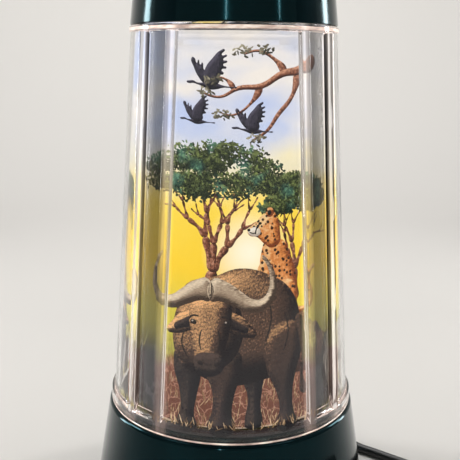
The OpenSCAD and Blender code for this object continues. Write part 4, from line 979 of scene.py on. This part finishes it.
def draw_tree(sheet, seed, at, height, crown, width=6.0, base=0):
    """A forked tree. The crown is (half width, half height), and clumps of leaves fill it."""
    chance = random.Random(seed)
    tips = []

    def grow(x, y, angle, length, thick, depth):
        bend = chance.uniform(-0.25, 0.25)
        mid = (x + 0.5 * length * math.cos(angle), y + 0.5 * length * math.sin(angle))
        end = (mid[0] + 0.5 * length * math.cos(angle + bend),
               mid[1] + 0.5 * length * math.sin(angle + bend))
        paint(sheet, limb([(x, y, thick), (*mid, thick * 0.82), (*end, thick * 0.62)]), I["bark"],
            base + depth * 0.3, max(thick * 0.6, 0.6), 0.0, step=1.6)
        if depth == 4:
            tips.append(end)
            return
        for side in ((-1, 1) if depth else (-1, 0.1, 1)):
            grow(*end, angle + side * chance.uniform(0.26, 0.52), length * chance.uniform(0.66, 0.86),
                 thick * 0.58, depth + 1)

    grow(at[0], at[1], math.pi / 2 + chance.uniform(-0.12, 0.12), height, width, 0)
    top = max(t[1] for t in tips)
    for i in range(58):
        u = chance.uniform(-1, 1)
        x = at[0] + u * crown[0]
        y = top + chance.uniform(-0.5, 0.95) * crown[1] * math.sqrt(max(0.2, 1 - u * u))
        draw_leaves(sheet, chance, x, y, crown[0] * 0.26, crown[1] * 0.22, 84, size=(1.1, 2.4),
                    layer=base + 2)


def draw_branch(sheet, seed, at, scale=1.0, flip=1, base=0):
    """A bare branch that reaches in from the side, with a few leafy twigs."""
    chance = random.Random(seed)
    for line, layer in (
            ([(34, -5, 2.6), (30, -16, 2.3), (21, -25, 2.2), (15, -32, 1.5), (8, -36, 0.5)], 0),
            ([(46, 0, 4.6), (34, -5, 4.0), (24, -6.5, 3.2), (12, -12, 2.6), (0, -13, 2.0), (-10, -17, 1.2),
              (-19, -15, 0.4)], 1),
            ([(26, -6, 2.2), (19, 0, 1.6), (10, 3.5, 1.2), (3, 2, 0.4)], 0),
            ([(12, -12, 1.8), (6, -20, 1.3), (-3, -25, 0.9), (-9, -24, 0.3)], 0),
            ([(-2, -13.5, 1.4), (-7, -9, 1.0), (-13, -8, 0.3)], 0)):
        paint(sheet, limb(placed(line, at, scale, flip)), I["bark"], base + layer, 1.6, 0.05)
    for x, y, wide in ((2, 3, 5), (-14, -9, 5), (-18, -15, 4), (-8, -24.5, 4.5), (9, -36, 4), (14, 4, 4)):
        x, y = at[0] + x * scale * flip, at[1] + y * scale
        draw_leaves(sheet, chance, x, y, wide, 2.2, 26, "dry_leaf", (1.6, 2.8), base + 2)


def draw_palm(sheet, seed, at, height, base=0):
    chance = random.Random(seed)
    lean = chance.uniform(-6, 6)
    x, y = at
    top = (x + lean, y + height)
    trunk = [(x, y, 3.6), (x + lean * 0.2, y + height * 0.35, 2.6),
             (x + lean * 0.6, y + height * 0.7, 2.2), (*top, 2.0)]
    paint(sheet, limb(trunk), I["bark"], base, 1.6)
    for i in range(13):
        a = math.pi * (i / 12 * 1.5 - 0.25) + chance.uniform(-0.1, 0.1)
        reach = chance.uniform(12, 16)
        clump, lights = bmesh.new(), []
        for j in range(34):
            t = (j + 1) / 34
            fx, fy = top[0] + reach * t * math.cos(a), top[1] + reach * t * (math.sin(a) - 0.75 * t)
            for side in (-1, 1):
                blade(clump, lights, fx, fy, 4.6 * (1 - 0.55 * t), 0.55, a - 0.7 * t + side * 1.1,
                    I["leaf"], base + 1 + t, 0.35 + 0.3 * math.sin(a) + chance.uniform(-0.15, 0.2))
        merge(sheet, clump, lights)


def draw_grass(sheet, seed, start, end, foot, count, tall=(4, 11), ink="grass", base=0):
    chance = random.Random(seed)
    clump, lights = bmesh.new(), []
    for i in range(count):
        x = chance.uniform(start, end)
        if len(lights) > 600:
            merge(sheet, clump, lights)
            clump, lights = bmesh.new(), []
        blade(clump, lights, x, foot + chance.uniform(-1.5, 1.5), chance.uniform(*tall),
            chance.uniform(0.25, 0.6), math.pi / 2 + chance.gauss(0, 0.33), I[ink], base + 2 * i / count,
            chance.uniform(0.15, 0.95))
    merge(sheet, clump, lights)


def draw_rocks(sheet, seed, places, base=0):
    chance = random.Random(seed)
    for x, y, wide, tall in places:
        edge = []
        for i in range(9):
            a = math.pi * i / 8
            reach = chance.uniform(0.88, 1.12)
            edge.append((x + wide * math.cos(a) * reach, y + tall * math.sin(a) ** 0.7 * reach))
        edge += [(x - wide * 0.5, y - 1), (x + wide * 0.5, y - 1)]
        paint(sheet, edge, I["stone"], base, min(wide, tall) * 0.7)


print("plants are ready to draw")

# %% [markdown]
# The still film shows the subjects. Four scenes follow one another round the lamp, one to each
# window between the ribs. The front one is in four sheets, one for each of its subjects.

# %% The still film's scenes
def scene_sheet(name, draw, body="shell", radius=film_radius):
    sheet = start_sheet()
    draw(sheet)
    publish(sheet, name, INK_LIST, body, radius)


def front_trees(sheet):
    draw_tree(sheet, 11, (30, 128), 15, (20, 11), 3.6)
    draw_tree(sheet, 4, (-15, 124), 19.5, (33, 16), 5.4, 1)


def front_cat(sheet):
    draw_rocks(sheet, 3, [(27, 96, 17, 27), (38, 92, 14, 22), (14, 92, 12, 15)])
    draw_grass(sheet, 8, 4, 44, 101, 120, (4, 10), base=1)
    draw_cat(sheet, (34, 121), 0.98, -1, 2)


def front_buffalo(sheet):
    draw_buffalo(sheet, (-9, 62.5), 1.0, 1, 8)
    draw_grass(sheet, 21, -47, 47, 65, 130, (2, 6), "dry_grass", base=18)


def front_sky(sheet):
    draw_branch(sheet, 5, (0, 240))
    draw_crane(sheet, (-15, 228), 1.0)
    draw_crane(sheet, (-22, 212), 0.72)
    draw_crane(sheet, (7, 208), 0.8)


scene_sheet("front_trees_print", front_trees)
scene_sheet("front_cat_print", front_cat)
scene_sheet("front_buffalo_print", front_buffalo)
scene_sheet("front_sky_print", front_sky)


def right_scene(sheet):
    draw_palm(sheet, 2, (76, 118), 62)
    draw_palm(sheet, 9, (116, 112), 48)
    draw_grass(sheet, 31, 50, 138, 100, 200, (5, 11))
    draw_zebra(sheet, (84, 84), 1.0, 1, 3)
    draw_zebra(sheet, (98, 66), 1.15, -1, 9)
    draw_grass(sheet, 32, 48, 140, 64, 260, (3, 8), base=15)
    draw_crane(sheet, (90, 222), 1.0)
    draw_crane(sheet, (108, 205), 0.7)


def rear_scene(sheet):
    draw_tree(sheet, 17, (200, 120), 21, (30, 15), 6.0)
    draw_branch(sheet, 6, (186, 240), 1.0, -1)
    draw_crane(sheet, (205, 222), 0.9, -1)
    draw_grass(sheet, 41, 144, 232, 102, 180, (5, 11), base=5)
    draw_rhino(sheet, (150, 66), 0.8, 1, 7)
    draw_grass(sheet, 42, 142, 234, 64, 260, (3, 8), base=14)


def left_scene(sheet):
    draw_tree(sheet, 23, (-112, 124), 17, (24, 13), 4.6)
    draw_palm(sheet, 13, (-74, 112), 66)
    draw_grass(sheet, 51, -140, -50, 100, 200, (5, 11), base=5)
    draw_buffalo(sheet, (-90, 62.5), 0.9, -1, 7)
    draw_grass(sheet, 52, -142, -47, 64, 260, (3, 8), base=18)
    draw_crane(sheet, (-98, 224), 1.0, -1)


scene_sheet("right_scene_print", right_scene)
scene_sheet("rear_scene_print", rear_scene)
scene_sheet("left_scene_print", left_scene)

# %% [markdown]
# The drum carries the far view, which turns behind the subjects: hills, a line of low trees, and
# grass down to its foot. All of it is small, as far things are.

# %% The turning drum's print
def drum_far_view(sheet):
    chance = random.Random(77)
    around = math.pi * ARC_R
    for i in range(15):
        x = -around + (i + 0.5) * around / 7.5
        wide, tall = chance.uniform(16, 26), chance.uniform(5, 13)
        edge = [(x + wide * math.cos(math.pi * j / 10), 112 + tall * math.sin(math.pi * j / 10) ** 1.4)
                for j in range(11)]
        edge += [(x - wide * 0.6, 104), (x + wide * 0.6, 104)]
        paint(sheet, edge, I["hill"], i * 0.2, 6.0, step=2.2)
    for i in range(34):
        x = chance.uniform(-around, around)
        draw_leaves(sheet, chance, x, 118 + chance.uniform(-2, 3), chance.uniform(3, 6),
            chance.uniform(2, 4), 26, "leaf", (1.2, 2.2), 4)
    draw_grass(sheet, 61, -around, around, 98, 900, (5, 13), base=7)
    for foot in (66, 74, 82, 90):
        draw_grass(sheet, foot, -around, around, foot, 260, (3, 8), "dry_grass", 9)


scene_sheet("drum_far_view_print", drum_far_view, "rotor", drum_radius)

# %% [markdown]
# Clear plastic carries light along its walls and lets it out at its cut edges, so the shell's foot
# and its top flange show as thin warm lines. Each is a small bead, spun round from a rounded
# rectangle that lies just inside the plastic's edge, and a noise breaks its glow into glints. The rib
# posts catch the print's light too, so the shell's own material glows faintly there, in streaks.

# %% Lit edges of the shell
edge_glow, tree, shader = finish("clear_edge", (0.75, 0.62, 0.55), 0.25, Emission_Strength=0.85)
shimmer = noise(tree, object_point(tree, (1, 1, 3)), 95.0, 5.0, 0.7)
feed(shader, Emission_Color=ramp(
    tree, shimmer, (0.36, (0.16, 0.10, 0.09)), (0.5, (0.52, 0.38, 0.32)), (0.62, (1.0, 0.88, 0.76))))


def edge_bead(name, radius, low, wide, tall):
    bm = bmesh.new()
    upright = (Matrix.Translation((radius * MM, 0, (low + tall / 2) * MM))
               @ Matrix.Rotation(math.radians(90), 4, "X") @ Matrix.Diagonal((wide * MM, tall * MM, 1, 1)))
    out = bmesh.ops.create_grid(bm, x_segments=1, y_segments=1, size=0.5, matrix=upright)
    bmesh.ops.bevel(bm, geom=out["verts"], offset=0.3 * min(wide, tall) * MM, segments=2, profile=0.5,
                    affect="VERTICES", material=-1)
    bmesh.ops.delete(bm, geom=bm.faces[:], context="FACES_ONLY")
    bmesh.ops.spin(bm, geom=bm.verts[:] + bm.edges[:], cent=(0, 0, 0), axis=(0, 0, 1),
                   angle=math.radians(360), steps=160, use_merge=True)
    bmesh.ops.remove_doubles(bm, verts=bm.verts[:], dist=1e-6)
    bmesh.ops.recalc_face_normals(bm, faces=bm.faces[:])
    add_piece(name, bm, "shell", edge_glow, 60)


tree = finishes["clear_shell"].node_tree
shader = tree.nodes["Principled BSDF"]
place = node(tree, "TexCoord", out="Object")
rib = use_group(tree, lit_group, Across=across_point(tree, place))["Rib"]
streaks = noise(tree, object_point(tree, (1, 1, 0.015)), 420.0, 4.0)
rib = maths(tree, "MULTIPLY", rib, remap(tree, streaks, 0.35, 0.62, 0.35, 1.0))
caught = mix(tree, 0.35, use_group(tree, sky_group, Point=place)["Colour"], (0.92, 0.70, 0.60))
feed(shader, Emission_Color=mix(tree, rib, (0.0, 0.0, 0.0), caught))
shader.inputs["Emission Strength"].default_value = 0.26
edge_bead("shell_foot_glow", 65.35, 58.75, 0.55, 0.9)
edge_bead("shell_flange_glow", 52.25, 253.2, 0.5, 1.6)
print("lit edges are in place")

# %% [markdown]
# The drum's sheet is printed all over. Below the horizon its earth is cracked, which a Voronoi
# texture's distance to the nearest cell edge draws as thin pale lines. The still film carries the
# same sky more thinly. Below the horizon it is nearly clear, so the turning earth shows through it.

# %% The drum's sheet and the still film
# Both sheets glow: their emission is painted light, standing in for the bulb shining through them from
# behind.
drum, tree, shader = finish(
    "drum_print", (0.2, 0.18, 0.15), 0.45, Emission_Strength=1.0, Specular_IOR_Level=0.15)
place = node(tree, "TexCoord", out="Object")
sky_parts = use_group(tree, sky_group, Point=place)
wobble = noise(tree, place, 120.0, 3.0, out="Color")
push = node(tree, "VectorMath", out="Vector", operation="SCALE", I0=wobble, Scale=0.011)
bent = node(tree, "VectorMath", out="Vector", operation="ADD", I0=place, I1=push)
cell = node(tree, "TexVoronoi", feature="DISTANCE_TO_EDGE", Vector=bent, Scale=210.0)
crack = remap(tree, cell, 0.01, 0.06, 0.6, 0.0)
ground = remap(tree, axis(tree, place, "Z"), 0.094, 0.102, 1.0, 0.0)
crack = maths(tree, "MULTIPLY", crack, ground)
paint_tone = mix(tree, crack, sky_parts["Colour"], (0.62, 0.33, 0.22))
feed(shader, Emission_Color=paint_tone)
feed(shader, Base_Color=mix(tree, 0.8, paint_tone, (0.0, 0.0, 0.0)))
finishes["drum_print"] = drum

film, tree, shader = finish(
    "picture_print", (0.2, 0.18, 0.15), 0.30, Emission_Strength=1.0, Specular_IOR_Level=0.15)
place = node(tree, "TexCoord", out="Object")
sky_parts = use_group(tree, sky_group, Point=place)
z = axis(tree, place, "Z")
lit = use_group(tree, lit_group, Across=across_point(tree, place))["Lit"]
inked = remap(tree, z, 0.099, 0.112, 0.04, 0.62)
grain = noise(tree, place, 260.0, 4.0)
inked = maths(tree, "MULTIPLY", inked, remap(tree, grain, 0.3, 0.7, 0.92, 1.05))
feed(shader, Alpha=inked)
# The still film's painted glow is dimmed over the strips, a painted shade where they block the bulb.
feed(shader, Emission_Color=mix(tree, lit, (0.0, 0.0, 0.0), sky_parts["Colour"]))
feed(shader, Base_Color=mix(tree, 0.8, sky_parts["Colour"], (0.0, 0.0, 0.0)))
finishes["picture_print"] = film
print("film finishes are ready")

# %% Finishes on the loaded parts
for row in frame["record"]["subparts"]:
    surface = nodes[row["node"]].data.materials
    surface.clear()
    surface.append(finishes[row["material_slot"]])
